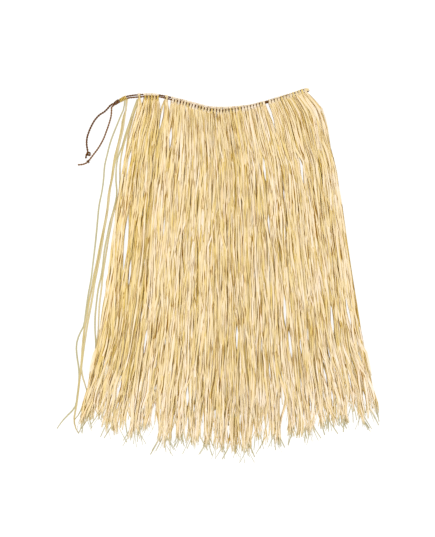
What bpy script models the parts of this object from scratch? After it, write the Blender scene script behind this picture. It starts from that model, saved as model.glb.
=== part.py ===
"""Raffia grass skirt, laid flat and folded in half at its right-hand side.

One two-ply waist cord runs along the front layer, turns back at the fold and runs
along the back layer. Raffia is hitched over it, and each hitch drops two strands.
The cord's two ends meet at the left in a join knot and leave it as tie tails.

Axes: +X towards the fold, +Y from hem to waist, +Z up from the surface that the
skirt lies on. The tables are in millimetres, and everything built is in metres.
"""

import bisect
import math
import random
from typing import NamedTuple

import bmesh
import bpy
import numpy as np
from mathutils import Matrix, Vector
from mathutils.geometry import interpolate_bezier

MM = 0.001

# --- Driving sizes, in millimetres -------------------------------------------------
CORD_DIAMETER = 3.6
CORD_RADIUS = CORD_DIAMETER / 2
GAP = 0.3
FLOOR_GAP = 0.05

HITCH_WALL = 0.7
HITCH_PITCH = 6.8
HITCH_WIDTH = 4.4
HITCH_INNER = CORD_RADIUS + GAP
HITCH_OUTER = HITCH_INNER + HITCH_WALL
HITCH_REACHES = (HITCH_OUTER, HITCH_INNER)
# Heights of the band's inner wall: a hitch's loop ends in its lowest and highest rows.
WALL_RISES = (-HITCH_OUTER, -HITCH_INNER, HITCH_INNER, HITCH_OUTER)
MIDDLE_ROW = 1

LAYER_THICKNESS = 2 * HITCH_OUTER
BACK_CORD_HEIGHT = HITCH_OUTER
FRONT_CORD_HEIGHT = BACK_CORD_HEIGHT + LAYER_THICKNESS + GAP

BAND_FLAT_DEPTH = 8.0
BAND_DEPTH = 11.0

STRAND_THICKNESS = 1.4
ROOT_DROP = 0.6
STRANDS_PER_HITCH = 2
STRAND_SPACING = HITCH_PITCH / STRANDS_PER_HITCH
# Three heights inside one layer, so that neighbours lie over each other, apart.
LEVEL_STEP = 1.9
LEVEL_ORDER = (-1, 1, 0)

LOCK_STRANDS = 7
LOCK_GATHER = 0.24
HEM_LONGER = 22.0
HEM_SHORTER = 26.0

POINTS_PER_SPAN = 8
CORD_SIDES_RESOLUTION = 2
CORD_STEP = 3 * CORD_DIAMETER


# --- Tables with named columns, in millimetres -------------------------------------
class Spot(NamedTuple):
    """A point that a cord's centre line passes through."""

    x: float
    y: float
    z: float


class Row(NamedTuple):
    """The skirt's left and right edges at one height up the layout."""

    y: float
    left: float
    right: float


class Hem(NamedTuple):
    """The hem's mean height at a share of the way across."""

    across: float
    y: float


class Ring(NamedTuple):
    """One cross-section of a strand.

    The share says how far down it lies, and slide how far that may vary. Stray is how
    far it may lie to either side, and gather how much it leans to its lock's middle.
    """

    share: float
    slide: float
    width: float
    stray: float
    gather: float


class Layer(NamedTuple):
    """Where a layer's left and right sides are, measured along the waist cord."""

    left: float
    right: float


class Fringe(NamedTuple):
    """One run of hitches on the waist cord and the strands that hang from it."""

    name: str
    layer: Layer
    start: float
    hitches: int
    seed: int


class Column(NamedTuple):
    """One strand's corners in the band: its inner wall, lower crease and root."""

    frame: tuple
    wall: list
    crease: object
    root: tuple


class Bend(NamedTuple):
    """A point of a loose wisp's route down the left side, and its width there."""

    x: float
    y: float
    width: float


# The waist cord: out of the knot, along the front, round the fold, along the back.
Z_KNOT = 4.9
FRONT_LINE = (
    Spot(-210.2, 384.1, Z_KNOT),
    Spot(-207.2, 385.8, 5.2),
    Spot(-197.0, 388.3, 6.7),
    Spot(-186.0, 389.4, 8.3),
    Spot(-177.0, 390.1, FRONT_CORD_HEIGHT),
    Spot(-148.5, 391.6, FRONT_CORD_HEIGHT),
    Spot(-126.5, 390.5, FRONT_CORD_HEIGHT),
    Spot(-104.5, 385.4, FRONT_CORD_HEIGHT),
    Spot(-75.9, 378.8, FRONT_CORD_HEIGHT),
    Spot(-47.3, 370.7, FRONT_CORD_HEIGHT),
    Spot(-18.7, 363.6, FRONT_CORD_HEIGHT),
    Spot(12.1, 361.9, FRONT_CORD_HEIGHT),
    Spot(40.7, 365.0, FRONT_CORD_HEIGHT),
    Spot(82.5, 374.0, FRONT_CORD_HEIGHT),
    Spot(111.1, 381.7, FRONT_CORD_HEIGHT),
    Spot(148.5, 392.6, FRONT_CORD_HEIGHT),
    Spot(172.7, 400.2, FRONT_CORD_HEIGHT),
    Spot(192.5, 406.8, FRONT_CORD_HEIGHT),
)
FOLD_TURN = (
    Spot(198.2, 407.4, 7.7),
    Spot(200.2, 404.6, 5.7),
    Spot(197.6, 402.2, 3.7),
)
BACK_LINE = (
    Spot(191.4, 400.9, BACK_CORD_HEIGHT),
    Spot(172.7, 394.6, BACK_CORD_HEIGHT),
    Spot(148.5, 387.9, BACK_CORD_HEIGHT),
    Spot(111.1, 379.1, BACK_CORD_HEIGHT),
    Spot(82.5, 373.3, BACK_CORD_HEIGHT),
    Spot(49.5, 369.3, BACK_CORD_HEIGHT),
    Spot(18.7, 367.2, BACK_CORD_HEIGHT),
    Spot(-16.5, 368.2, BACK_CORD_HEIGHT),
    Spot(-47.3, 375.6, BACK_CORD_HEIGHT),
    Spot(-75.9, 383.2, BACK_CORD_HEIGHT),
    Spot(-104.5, 390.5, BACK_CORD_HEIGHT),
    Spot(-126.5, 395.0, BACK_CORD_HEIGHT),
    Spot(-148.5, 396.7, BACK_CORD_HEIGHT),
    Spot(-177.0, 395.8, BACK_CORD_HEIGHT),
    Spot(-186.0, 394.9, 3.0),
    Spot(-197.0, 393.0, 3.8),
    Spot(-209.3, 389.2, 4.7),
    Spot(-212.3, 387.4, Z_KNOT),
)

# The join knot, a twisted lump between the cord's ends and the tie tails.
KNOT_START = Spot(-211.6, 385.5, Z_KNOT)
KNOT_END = Spot(-231.2, 373.2, Z_KNOT)
KNOT_SECTIONS = 9
KNOT_SIDES = 12
KNOT_HALF_WIDTH = 4.1
KNOT_HALF_HEIGHT = 2.3
KNOT_SWELL_WIDE = 0.6
KNOT_SWELL_HIGH = 1.2
KNOT_TURN = math.pi

TAIL_HEIGHT = CORD_RADIUS + FLOOR_GAP
TAIL_A = (
    Spot(-232.6, 374.6, Z_KNOT),
    Spot(-235.8, 372.6, 4.6),
    Spot(-242.0, 365.8, 3.2),
    Spot(-249.2, 358.9, TAIL_HEIGHT),
    Spot(-258.9, 352.8, TAIL_HEIGHT),
    Spot(-270.2, 340.8, TAIL_HEIGHT),
    Spot(-277.7, 328.0, TAIL_HEIGHT),
    Spot(-283.4, 315.0, TAIL_HEIGHT),
    Spot(-287.7, 301.0, TAIL_HEIGHT),
    Spot(-288.4, 286.4, TAIL_HEIGHT),
    Spot(-286.0, 270.2, TAIL_HEIGHT),
)
TAIL_B = (
    Spot(-230.5, 371.3, Z_KNOT),
    Spot(-232.6, 369.0, 4.7),
    Spot(-233.6, 361.0, 3.2),
    Spot(-234.6, 349.6, TAIL_HEIGHT),
    Spot(-238.9, 333.4, TAIL_HEIGHT),
    Spot(-244.8, 316.2, TAIL_HEIGHT),
    Spot(-251.6, 298.6, TAIL_HEIGHT),
    Spot(-261.4, 280.9, TAIL_HEIGHT),
    Spot(-273.4, 264.4, 2.2),
    Spot(-280.6, 254.6, 3.7),
    Spot(-285.0, 248.6, 4.5),
    Spot(-291.2, 244.6, 3.4),
    Spot(-299.4, 242.4, TAIL_HEIGHT),
    Spot(-307.6, 241.8, TAIL_HEIGHT),
)
# The open overhand loop on tail A: down the left, round, and over itself to a stub.
LOOP_A = (
    Spot(-285.9, 269.7, TAIL_HEIGHT),
    Spot(-285.6, 267.7, TAIL_HEIGHT),
    Spot(-286.1, 265.0, TAIL_HEIGHT),
    Spot(-284.2, 262.3, TAIL_HEIGHT),
    Spot(-281.2, 263.8, 2.4),
    Spot(-281.2, 267.4, 4.0),
    Spot(-284.2, 269.0, 5.8),
    Spot(-287.8, 265.6, 6.3),
    Spot(-289.2, 260.9, 4.6),
    Spot(-290.4, 256.4, TAIL_HEIGHT),
)
# The small knot on tail B, a ring drawn tight round the cord.
RING_B = Spot(-285.0, 248.6, 4.5)
RING_B_AXIS = (-0.80, -0.60, 0.0)
RING_B_THICKNESS = 2.2
RING_B_SIDES = 14
RING_B_ROUND = 8

# The body of strands: its edges from the hem up, and its mean hem from left to right.
BODY_ROWS = (
    Row(-412.0, -311.0, 371.0),
    Row(-342.0, -305.0, 365.0),
    Row(-267.0, -291.0, 352.0),
    Row(-162.0, -267.0, 327.0),
    Row(-56.0, -249.0, 309.0),
    Row(50.0, -236.0, 291.0),
    Row(155.0, -222.0, 275.0),
    Row(243.0, -209.0, 262.0),
    Row(313.0, -200.0, 249.0),
    Row(366.0, -185.0, 232.0),
    Row(402.0, -177.0, 204.0),
)
HEM_LINE = (
    Hem(0.00, -324.0),
    Hem(0.12, -350.0),
    Hem(0.30, -362.0),
    Hem(0.45, -384.0),
    Hem(0.57, -388.0),
    Hem(0.68, -364.0),
    Hem(0.78, -344.0),
    Hem(0.88, -326.0),
    Hem(0.95, -306.0),
    Hem(1.00, -291.0),
)
STRAND_RINGS = (
    Ring(0.00, 0.00, 2.6, 0.0, 0.0),
    Ring(0.06, 0.00, 2.6, 0.0, 0.0),
    Ring(0.26, 0.03, 5.4, 2.4, 0.0),
    Ring(0.56, 0.03, 6.2, 3.2, 0.1),
    Ring(0.89, 0.03, 5.8, 4.0, 0.6),
    Ring(1.00, 0.00, 1.6, 3.4, 1.0),
)

# Runs of hitches along the cord. The cord is bare between the front's two runs.
FRONT_LAYER = Layer(36.0, 416.8)
BACK_LAYER = Layer(809.2, 435.2)
FRINGES = (
    Fringe("fringe_front_left", FRONT_LAYER, 36.0, 7, 11),
    Fringe("fringe_front", FRONT_LAYER, 104.0, 46, 34),
    Fringe("fringe_back", BACK_LAYER, 435.2, 55, 13),
)

# Loose wisps, tied in beside the knot, which fall outside the body's left edge.
LOOSE_FRINGE = Fringe("fringe_wisp", FRONT_LAYER, 4.0, 2, 0)
WISPS = (
    (
        Bend(-228.0, 313.0, 2.6),
        Bend(-250.0, 238.0, 3.4),
        Bend(-268.0, 100.0, 3.6),
        Bend(-284.0, -70.0, 3.8),
        Bend(-311.0, -152.0, 3.4),
        Bend(-309.0, -226.0, 3.2),
        Bend(-319.0, -300.0, 2.4),
        Bend(-355.0, -338.0, 1.2),
    ),
    (
        Bend(-221.0, 318.0, 2.6),
        Bend(-243.0, 230.0, 3.4),
        Bend(-258.0, 110.0, 3.6),
        Bend(-276.0, -40.0, 3.8),
        Bend(-302.0, -180.0, 3.4),
        Bend(-311.0, -270.0, 2.4),
        Bend(-314.0, -348.0, 1.2),
    ),
    (
        Bend(-214.0, 322.0, 2.6),
        Bend(-234.0, 226.0, 3.2),
        Bend(-247.0, 120.0, 3.2),
        Bend(-268.0, -20.0, 3.4),
        Bend(-287.0, -130.0, 3.2),
        Bend(-301.0, -240.0, 2.4),
        Bend(-309.0, -332.0, 1.2),
    ),
    (
        Bend(-207.0, 326.0, 2.6),
        Bend(-227.0, 236.0, 3.2),
        Bend(-240.0, 120.0, 3.2),
        Bend(-259.0, -10.0, 3.2),
        Bend(-274.0, -110.0, 3.2),
        Bend(-292.0, -220.0, 2.4),
        Bend(-300.0, -306.0, 1.2),
    ),
)
# Neighbouring wisps lie at two heights just off the surface, so that they may cross.
WISP_LEVELS = (GAP, GAP + LEVEL_STEP, GAP, GAP + LEVEL_STEP)


class Finish(NamedTuple):
    """A plain surface: linear colour and roughness."""

    name: str
    colour: tuple
    roughness: float


RAFFIA = Finish("raffia_straw", (0.78, 0.60, 0.32), 0.72)
RAFFIA_BACK = Finish("raffia_straw_back", (0.66, 0.48, 0.23), 0.76)
CORD_FIBRE = Finish("twisted_brown_fibre", (0.19, 0.085, 0.032), 0.85)


class Route:
    """A smooth line through hand-chosen spots, measured along its length in mm."""

    def __init__(self, spots):
        knots = [Vector(spot) for spot in spots]
        self.points = smooth_points(knots)
        self.marks = [0.0]
        for here, there in zip(self.points, self.points[1:]):
            self.marks.append(self.marks[-1] + (there - here).length)

    def at(self, distance):
        """The point at a distance along the line, and the line's direction there."""
        index = bisect.bisect_right(self.marks, distance) - 1
        index = min(max(index, 0), len(self.points) - 2)
        here = self.points[index]
        along = self.points[index + 1] - here
        share = (distance - self.marks[index]) / along.length
        return here + along * share, along.normalized()

    def stations(self):
        """Distances along the line, two or more to each span, a step apart or less."""
        found = [0.0]
        for index in range(0, len(self.points) - 1, POINTS_PER_SPAN):
            start, end = self.marks[index], self.marks[index + POINTS_PER_SPAN]
            pieces = max(2, math.ceil((end - start) / CORD_STEP))
            step = (end - start) / pieces
            found += [start + step * piece for piece in range(1, pieces + 1)]
        return found


def smooth_points(knots):
    """Points along a smooth line through the knots, with slopes set by both spans.

    A knot beside a level span is level too, so the line never dips under its knots.
    """
    spans = [(there - here).length for here, there in zip(knots, knots[1:])]
    runs = [(there - here) / span for here, there, span in zip(knots, knots[1:], spans)]
    slopes = [runs[0]]
    for index in range(1, len(knots) - 1):
        before, after = spans[index - 1], spans[index]
        slope = (runs[index - 1] * after + runs[index] * before) / (before + after)
        if runs[index - 1].z * runs[index].z <= 0:
            slope.z = 0.0
        slopes.append(slope)
    slopes.append(runs[-1])
    line = []
    for index, span in enumerate(spans):
        reach = span / 3
        start, end = knots[index], knots[index + 1]
        leaving = start + slopes[index] * reach
        arriving = end - slopes[index + 1] * reach
        stretch = interpolate_bezier(start, leaving, arriving, end, POINTS_PER_SPAN + 1)
        line.extend(stretch[:-1])
    line.append(knots[-1])
    return line


def between(value, table, column):
    """A column of a table, read in a straight line between its two nearest rows."""
    keys = [row[0] for row in table]
    return float(np.interp(value, keys, [getattr(row, column) for row in table]))


def clear_scene():
    """Removes every object that the file starts with."""
    for item in list(bpy.data.objects):
        bpy.data.objects.remove(item, do_unlink=True)


def make_material(finish):
    """A Principled material, shared by the nodes of one finish."""
    material = bpy.data.materials.get(finish.name)
    if material:
        return material
    material = bpy.data.materials.new(finish.name)
    material.use_nodes = True
    shader = material.node_tree.nodes["Principled BSDF"]
    shader.inputs["Base Color"].default_value = (*finish.colour, 1.0)
    shader.inputs["Roughness"].default_value = finish.roughness
    shader.inputs["Metallic"].default_value = 0.0
    return material


def link_object(name, data, finish):
    """Adds an object to the scene with its finish."""
    item = bpy.data.objects.new(name, data)
    data.materials.append(make_material(finish))
    bpy.context.scene.collection.objects.link(item)
    return item


def solid_from(bm, name, finish):
    """Turns a bmesh drawn in millimetres into an object in metres."""
    bmesh.ops.recalc_face_normals(bm, faces=bm.faces)
    bmesh.ops.scale(bm, vec=(MM, MM, MM), verts=bm.verts)
    mesh = bpy.data.meshes.new(name)
    bm.to_mesh(mesh)
    bm.free()
    return link_object(name, mesh, finish)


def make_cord(name, spots):
    """A round cord along a smooth route, as a bevelled curve with closed ends."""
    route = Route(spots)
    stations = route.stations()
    curve = bpy.data.curves.new(name, "CURVE")
    curve.dimensions = "3D"
    curve.bevel_depth = CORD_RADIUS * MM
    curve.bevel_resolution = CORD_SIDES_RESOLUTION
    curve.use_fill_caps = True
    spline = curve.splines.new("POLY")
    spline.points.add(len(stations) - 1)
    for point, distance in zip(spline.points, stations):
        place, _ = route.at(distance)
        point.co = (*(place * MM), 1.0)
    return link_object(name, curve, CORD_FIBRE)


def add_tube(bm, rings):
    """Walls between cross-sections that have the same number of points."""
    for ring, following in zip(rings, rings[1:]):
        for index in range(len(ring)):
            after = (index + 1) % len(ring)
            bm.faces.new((ring[index], ring[after], following[after], following[index]))


def make_join_knot():
    """The lump where the cord's two ends wind round each other by half a turn."""
    start, end = Vector(KNOT_START), Vector(KNOT_END)
    along = (end - start).normalized()
    across = Vector((-along.y, along.x, 0.0))
    bm = bmesh.new()
    rings = []
    for section in range(KNOT_SECTIONS):
        share = section / (KNOT_SECTIONS - 1)
        swell = math.sin(math.pi * share)
        half_width = KNOT_HALF_WIDTH + KNOT_SWELL_WIDE * swell
        half_height = KNOT_HALF_HEIGHT + KNOT_SWELL_HIGH * swell
        turn = Matrix.Rotation(KNOT_TURN * share, 3, along)
        centre = start.lerp(end, share)
        ring = []
        for side in range(KNOT_SIDES):
            angle = 2 * math.pi * side / KNOT_SIDES
            wide = across * half_width * math.cos(angle)
            high = Vector((0.0, 0.0, half_height)) * math.sin(angle)
            ring.append(bm.verts.new(centre + turn @ (wide + high)))
        rings.append(ring)
    add_tube(bm, rings)
    bm.faces.new(rings[0])
    bm.faces.new(rings[-1])
    return solid_from(bm, "join_knot", CORD_FIBRE)


def make_ring_knot():
    """The small knot on tail B, as a ring round the cord, just clear of it."""
    ring_radius = RING_B_THICKNESS / 2
    bpy.ops.mesh.primitive_torus_add(
        major_segments=RING_B_SIDES,
        minor_segments=RING_B_ROUND,
        major_radius=(CORD_RADIUS + GAP + ring_radius) * MM,
        minor_radius=ring_radius * MM,
    )
    knot = bpy.context.object
    knot.name = "tail_knot_b"
    knot.data.name = knot.name
    knot.data.materials.append(make_material(CORD_FIBRE))
    turn = Vector((0, 0, 1)).rotation_difference(Vector(RING_B_AXIS)).to_matrix()
    place = Matrix.Translation(Vector(RING_B) * MM)
    knot.data.transform(place @ turn.to_4x4())
    return knot


def side_of(layer):
    """+1 where the cord runs to the right along a layer, -1 where it runs back."""
    return 1 if layer.right > layer.left else -1


def band_frame(route, distance, side):
    """The cord's centre at a distance, and the direction down into the skirt."""
    centre, along = route.at(distance)
    flat = Vector((along.x, along.y, 0.0)).normalized()
    return centre, Vector((flat.y, -flat.x, 0.0)) * side


def band_spot(frame, depth, rise):
    """A point of the band, measured down from the cord's centre and up from it."""
    centre, down = frame
    return centre + down * depth + Vector((0.0, 0.0, rise))


def add_hitch(bm, here, following):
    """The loop of one hitch, out of the band's edge, round the cord and back in."""
    rings = [(here.wall[0], here.wall[1], following.wall[1], following.wall[0])]
    for sign in (-1, 1):
        corners = []
        for column, reaches in ((here, HITCH_REACHES), (following, HITCH_REACHES[::-1])):
            for reach in reaches:
                corners.append(band_spot(column.frame, -reach, sign * reach))
        rings.append(tuple(map(bm.verts.new, corners)))
    rings.append((here.wall[3], here.wall[2], following.wall[2], following.wall[3]))
    add_tube(bm, rings)


def ring_corners(centre, heading, base, width, side):
    """The three corners of a strand's cross-section: its flat base and its ridge."""
    flat = Vector((heading.x, heading.y)).normalized()
    across = Vector((-flat.y, flat.x, 0.0)) * (side * width / 2)
    foot = Vector((centre.x, centre.y, base))
    ridge = foot + Vector((0.0, 0.0, STRAND_THICKNESS))
    return foot - across, foot + across, ridge


def add_strand(bm, root, stops, side):
    """A three-sided strand from its root's corners through the stops to its tip."""
    rings = [root]
    for index, (place, base, width) in enumerate(stops):
        before = stops[max(index - 1, 0)][0]
        after = stops[min(index + 1, len(stops) - 1)][0]
        corners = ring_corners(place, after - before, base, width, side)
        rings.append(tuple(map(bm.verts.new, corners)))
    add_tube(bm, rings)
    bm.faces.new(rings[-1])


def body_stops(route, fringe, number, chance):
    """A body strand's cross-sections below its root, at its own height in the layer."""
    layer = fringe.layer
    distance = fringe.start + STRAND_SPACING * (number + 0.5)
    root = band_spot(band_frame(route, distance, side_of(layer)), BAND_DEPTH, 0.0)
    across = (distance - layer.left) / (layer.right - layer.left)
    strands = abs(layer.right - layer.left) / STRAND_SPACING
    order = round(across * strands - 0.5)
    level = LEVEL_ORDER[order % len(LEVEL_ORDER)]
    base = root.z - ROOT_DROP + LEVEL_STEP * level
    lock = (order // LOCK_STRANDS + 0.5) * LOCK_STRANDS / strands
    hem = between(across, HEM_LINE, "y") + chance.uniform(-HEM_LONGER, HEM_SHORTER)
    stops = []
    for ring in STRAND_RINGS[1:]:
        share = ring.share + ring.slide * chance.uniform(-1, 1)
        y = root.y + (hem - root.y) * share
        place = across + (lock - across) * LOCK_GATHER * ring.gather
        left = between(y, BODY_ROWS, "left") + ring.width / 2
        right = between(y, BODY_ROWS, "right") - ring.width / 2
        x = left + (right - left) * place + ring.stray * chance.uniform(-1, 1)
        stops.append((Vector((x, y)), base, ring.width))
    return stops


def wisp_stops(number):
    """A loose wisp's cross-sections, lying on the surface beside the body."""
    base = WISP_LEVELS[number]
    return [(Vector((bend.x, bend.y)), base, bend.width) for bend in WISPS[number]]


def make_columns(bm, route, fringe, edge):
    """The band's corners, one column of them for each strand along the cord."""
    side = side_of(fringe.layer)
    half_root = STRAND_RINGS[0].width / 2
    ridge_rise = STRAND_THICKNESS - ROOT_DROP
    root_shape = ((-half_root, -ROOT_DROP), (half_root, -ROOT_DROP), (0.0, ridge_rise))
    columns = []
    for number in range(fringe.hitches * STRANDS_PER_HITCH):
        hitch, half = divmod(number, STRANDS_PER_HITCH)
        middle = fringe.start + HITCH_PITCH * (hitch + 0.5)
        frame = band_frame(route, middle + (half - 0.5) * HITCH_WIDTH, side)
        wall = [bm.verts.new(band_spot(frame, edge, rise)) for rise in WALL_RISES]
        crease = bm.verts.new(band_spot(frame, BAND_FLAT_DEPTH, -HITCH_OUTER))
        root_at = fringe.start + STRAND_SPACING * (number + 0.5)
        root = []
        for offset, rise in root_shape:
            corner = band_spot(band_frame(route, root_at + offset, side), BAND_DEPTH, rise)
            root.append(bm.verts.new(corner))
        columns.append(Column(frame, wall, crease, tuple(root)))
    return columns


def add_band(bm, here, following, looped):
    """The band's faces between two columns, with a hitch's loop where there is one."""
    for row in range(len(WALL_RISES) - 1):
        if looped and row != MIDDLE_ROW:
            continue
        corners = (here.wall[row], here.wall[row + 1])
        bm.faces.new((*corners, following.wall[row + 1], following.wall[row]))
    if looped:
        add_hitch(bm, here, following)
    _, far, ridge = here.root
    next_near, _, next_ridge = following.root
    bm.faces.new((here.wall[-1], following.wall[-1], next_ridge, ridge))
    bm.faces.new((here.wall[0], here.crease, following.crease, following.wall[0]))
    bm.faces.new((here.crease, far, next_near, following.crease))
    bm.faces.new((ridge, far, next_near, next_ridge))


def make_fringe(route, fringe, stops_of, finish, looped=True):
    """A band of hitches with its strands, as one solid."""
    bm = bmesh.new()
    edge = HITCH_INNER if looped else HITCH_INNER + GAP
    columns = make_columns(bm, route, fringe, edge)
    for number, (here, following) in enumerate(zip(columns, columns[1:])):
        add_band(bm, here, following, looped and number % STRANDS_PER_HITCH == 0)
    for number, column in enumerate(columns):
        near, far, _ = column.root
        bm.faces.new((column.crease, near, far))
        add_strand(bm, column.root, stops_of(number), side_of(fringe.layer))
    for column, corner in ((columns[0], 0), (columns[-1], 1)):
        ridge = column.root[-1]
        bm.faces.new((*column.wall, ridge, column.root[corner], column.crease))
    return solid_from(bm, fringe.name, finish)


def build():
    """The whole skirt, as named solids in the scene."""
    clear_scene()
    waist_spots = FRONT_LINE + FOLD_TURN + BACK_LINE
    make_cord("waist_cord", waist_spots)
    make_join_knot()
    make_cord("tie_tail_a", TAIL_A)
    make_cord("tie_tail_b", TAIL_B)
    make_cord("tail_knot_a", LOOP_A)
    make_ring_knot()
    waist = Route(waist_spots)
    for fringe in FRINGES:
        chance = random.Random(fringe.seed)
        finish = RAFFIA if fringe.layer is FRONT_LAYER else RAFFIA_BACK

        def stops_of(number, fringe=fringe, chance=chance):
            return body_stops(waist, fringe, number, chance)

        make_fringe(waist, fringe, stops_of, finish)
    make_fringe(waist, LOOSE_FRINGE, wisp_stops, RAFFIA, looped=False)


build()
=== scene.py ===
"""Dresses the laid raffia grass skirt: its strands, hitches, cord, knots and tie tails.

The skirt lies flat and folded in half at its right-hand side. Lengths are in metres, and
the tables' are in millimetres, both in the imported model's frame: +X towards the fold,
+Y from hem to waist, +Z up.
"""

import logging
import math
from dataclasses import dataclass, field
from enum import Enum
from typing import NamedTuple

import bpy
import numpy as np
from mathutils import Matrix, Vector

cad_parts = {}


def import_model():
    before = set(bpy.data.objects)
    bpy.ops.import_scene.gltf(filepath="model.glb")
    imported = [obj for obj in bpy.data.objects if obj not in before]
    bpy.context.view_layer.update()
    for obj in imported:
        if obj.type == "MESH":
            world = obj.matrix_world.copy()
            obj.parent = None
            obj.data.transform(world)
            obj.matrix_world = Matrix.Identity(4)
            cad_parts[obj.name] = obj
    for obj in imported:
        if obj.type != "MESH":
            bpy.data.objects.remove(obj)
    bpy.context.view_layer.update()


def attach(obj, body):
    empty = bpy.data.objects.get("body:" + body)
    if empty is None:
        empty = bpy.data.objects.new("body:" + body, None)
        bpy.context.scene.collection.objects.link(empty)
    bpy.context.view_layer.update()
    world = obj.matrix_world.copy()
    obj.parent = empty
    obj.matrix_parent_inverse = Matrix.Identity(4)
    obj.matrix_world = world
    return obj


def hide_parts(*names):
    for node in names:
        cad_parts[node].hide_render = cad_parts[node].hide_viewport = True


log = logging.getLogger("grass_skirt")
Socket = bpy.types.NodeSocket
Material = bpy.types.Material
Piece = bpy.types.Object
Chance = np.random.Generator

MM = 0.001
BODY = "root"
UP = np.array([0.0, 0.0, 1.0])

# --- Sizes shared by several pieces, in metres --------------------------------------
THIN_TWIST = 4.2 * MM
TIGHT_TURN = 6.0 * MM
FLOOR_CLEARANCE = 0.15 * MM
SMOOTH_ANGLE = math.radians(38)

# The range that most of a noise's values keep to.
NOISE_RANGE = (0.3, 0.7)
# The names of the marks and the UV map that each leaf and ply carries.
MARKS = "leaf_marks"
PLACES = "leaf_uv"


class Slot(Enum):
    """The record's material slots."""

    RAFFIA = "raffia"
    RAFFIA_BACK = "raffia_back"
    CORD = "cord"


class Opening(Enum):
    """How a parting between strands opens on its way down."""

    LENS = "closes again below"
    WEDGE = "stays open to the hem"


# --- Tables, in millimetres ---------------------------------------------------------
class Spot(NamedTuple):
    """A point that a cord's or a wisp's centre line passes through."""

    x: float
    y: float
    z: float


class Row(NamedTuple):
    """The skirt's left and right edges at one height up the layout."""

    y: float
    left: float
    right: float


class Lock(NamedTuple):
    """A lock of strands at the hem: its left edge, and how low it reaches."""

    edge: float
    tip: float


class Parting(NamedTuple):
    """A slit between neighbouring strands, from its top to its foot."""

    x: float
    y: float
    foot_x: float
    foot_y: float
    width: float
    opening: Opening = Opening.LENS


class Girth(NamedTuple):
    """A strand's width at one share of its length, as a share of its full width."""

    share: float
    width: float


class Wisp(NamedTuple):
    """A loose strand: its width, its tone, how dry it is, and its route."""

    width: float
    tone: float
    dryness: float
    spots: tuple


class Layer(NamedTuple):
    """Where a layer's left and right sides are, measured along the waist cord."""

    left: float
    right: float


class Run(NamedTuple):
    """A run of hitches: its layer, its ends along the waist cord, and which are missing."""

    layer: Layer
    start: float
    end: float
    hitches: int
    missing: tuple = ()

    @property
    def side(self) -> int:
        """+1 on the front layer and -1 on the back layer."""
        return 1 if self.layer.right > self.layer.left else -1

    @property
    def pitch(self) -> float:
        """The distance from one hitch to the next, in metres."""
        return (self.end - self.start) / self.hitches * MM

    @property
    def numbers(self) -> list[int]:
        """The numbers of the hitches that are there."""
        return [number for number in range(self.hitches) if number not in self.missing]

    def middle(self, number: int) -> float:
        """Where a hitch's middle is along the waist cord, in metres."""
        return self.start * MM + self.pitch * (number + 0.5)

    def nearest(self, number: int) -> int:
        """The number of the nearest hitch that is there."""
        return min(self.numbers, key=lambda other: abs(other - number))


class Grain(NamedTuple):
    """A noise's scales across and along what it is read on, and its octaves."""

    across: float
    along: float
    octaves: float


class Blend(NamedTuple):
    """Where an effect sets in, where it is full, and how strong it is then."""

    start: float
    full: float
    strength: float


class Lamp(NamedTuple):
    """A square lamp: its name, where it hangs in metres, its width and its watts."""

    name: str
    place: tuple
    size: float
    watts: float


def table(kind: type, *rows: tuple) -> tuple:
    """Names the numbers of some rows, by making each a record of that kind."""
    return tuple(kind(*row) for row in rows)


# The waist cord: out of the knot, along the front, round the fold, along the back.
FRONT_LINE = table(
    Spot,
    (-210.2, 384.1, 4.9), (-207.2, 385.8, 5.2), (-197, 388.3, 6.7), (-186, 389.4, 8.3),
    (-177, 390.1, 8.7), (-148.5, 391.6, 8.7), (-126.5, 390.5, 8.7), (-104.5, 385.4, 8.7),
    (-75.9, 378.8, 8.7), (-47.3, 370.7, 8.7), (-18.7, 363.6, 8.7), (12.1, 361.9, 8.7), (40.7, 365, 8.7),
    (82.5, 374, 8.7), (111.1, 381.7, 8.7), (148.5, 392.6, 8.7), (172.7, 400.2, 8.7),
    (192.5, 406.8, 8.7),
)
FOLD_TURN = table(
    Spot,
    (198.2, 407.4, 7.7), (200.2, 404.6, 5.7), (197.6, 402.2, 3.7),
)
BACK_LINE = table(
    Spot,
    (191.4, 400.9, 2.8), (172.7, 394.6, 2.8), (148.5, 387.9, 2.8), (111.1, 379.1, 2.8),
    (82.5, 373.3, 2.8), (49.5, 369.3, 2.8), (18.7, 367.2, 2.8), (-16.5, 368.2, 2.8),
    (-47.3, 375.6, 2.8), (-75.9, 383.2, 2.8), (-104.5, 390.5, 2.8), (-126.5, 395, 2.8),
    (-148.5, 396.7, 2.8), (-177, 395.8, 2.8), (-186, 394.9, 3), (-197, 393, 3.8), (-209.3, 389.2, 4.7),
    (-212.3, 387.4, 4.9),
)
TAIL_A = table(
    Spot,
    (-232.6, 374.6, 4.9), (-235.8, 372.6, 4.6), (-242, 365.8, 3.2), (-249.2, 358.9, 1.85),
    (-258.9, 352.8, 1.85), (-270.2, 340.8, 1.85), (-277.7, 328, 1.85), (-283.4, 315, 1.85),
    (-287.7, 301, 1.85), (-288.4, 286.4, 1.85), (-286, 270.2, 1.85),
)
TAIL_B = table(
    Spot,
    (-230.5, 371.3, 4.9), (-232.6, 369, 4.7), (-233.6, 361, 3.2), (-234.6, 349.6, 1.85),
    (-238.9, 333.4, 1.85), (-244.8, 316.2, 1.85), (-251.6, 298.6, 1.85), (-261.4, 280.9, 1.85),
    (-273.4, 264.4, 2.2), (-280.6, 254.6, 3.7), (-285, 248.6, 4.5), (-291.2, 244.6, 3.4),
    (-299.4, 242.4, 1.85), (-307.6, 241.8, 1.85),
)
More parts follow.
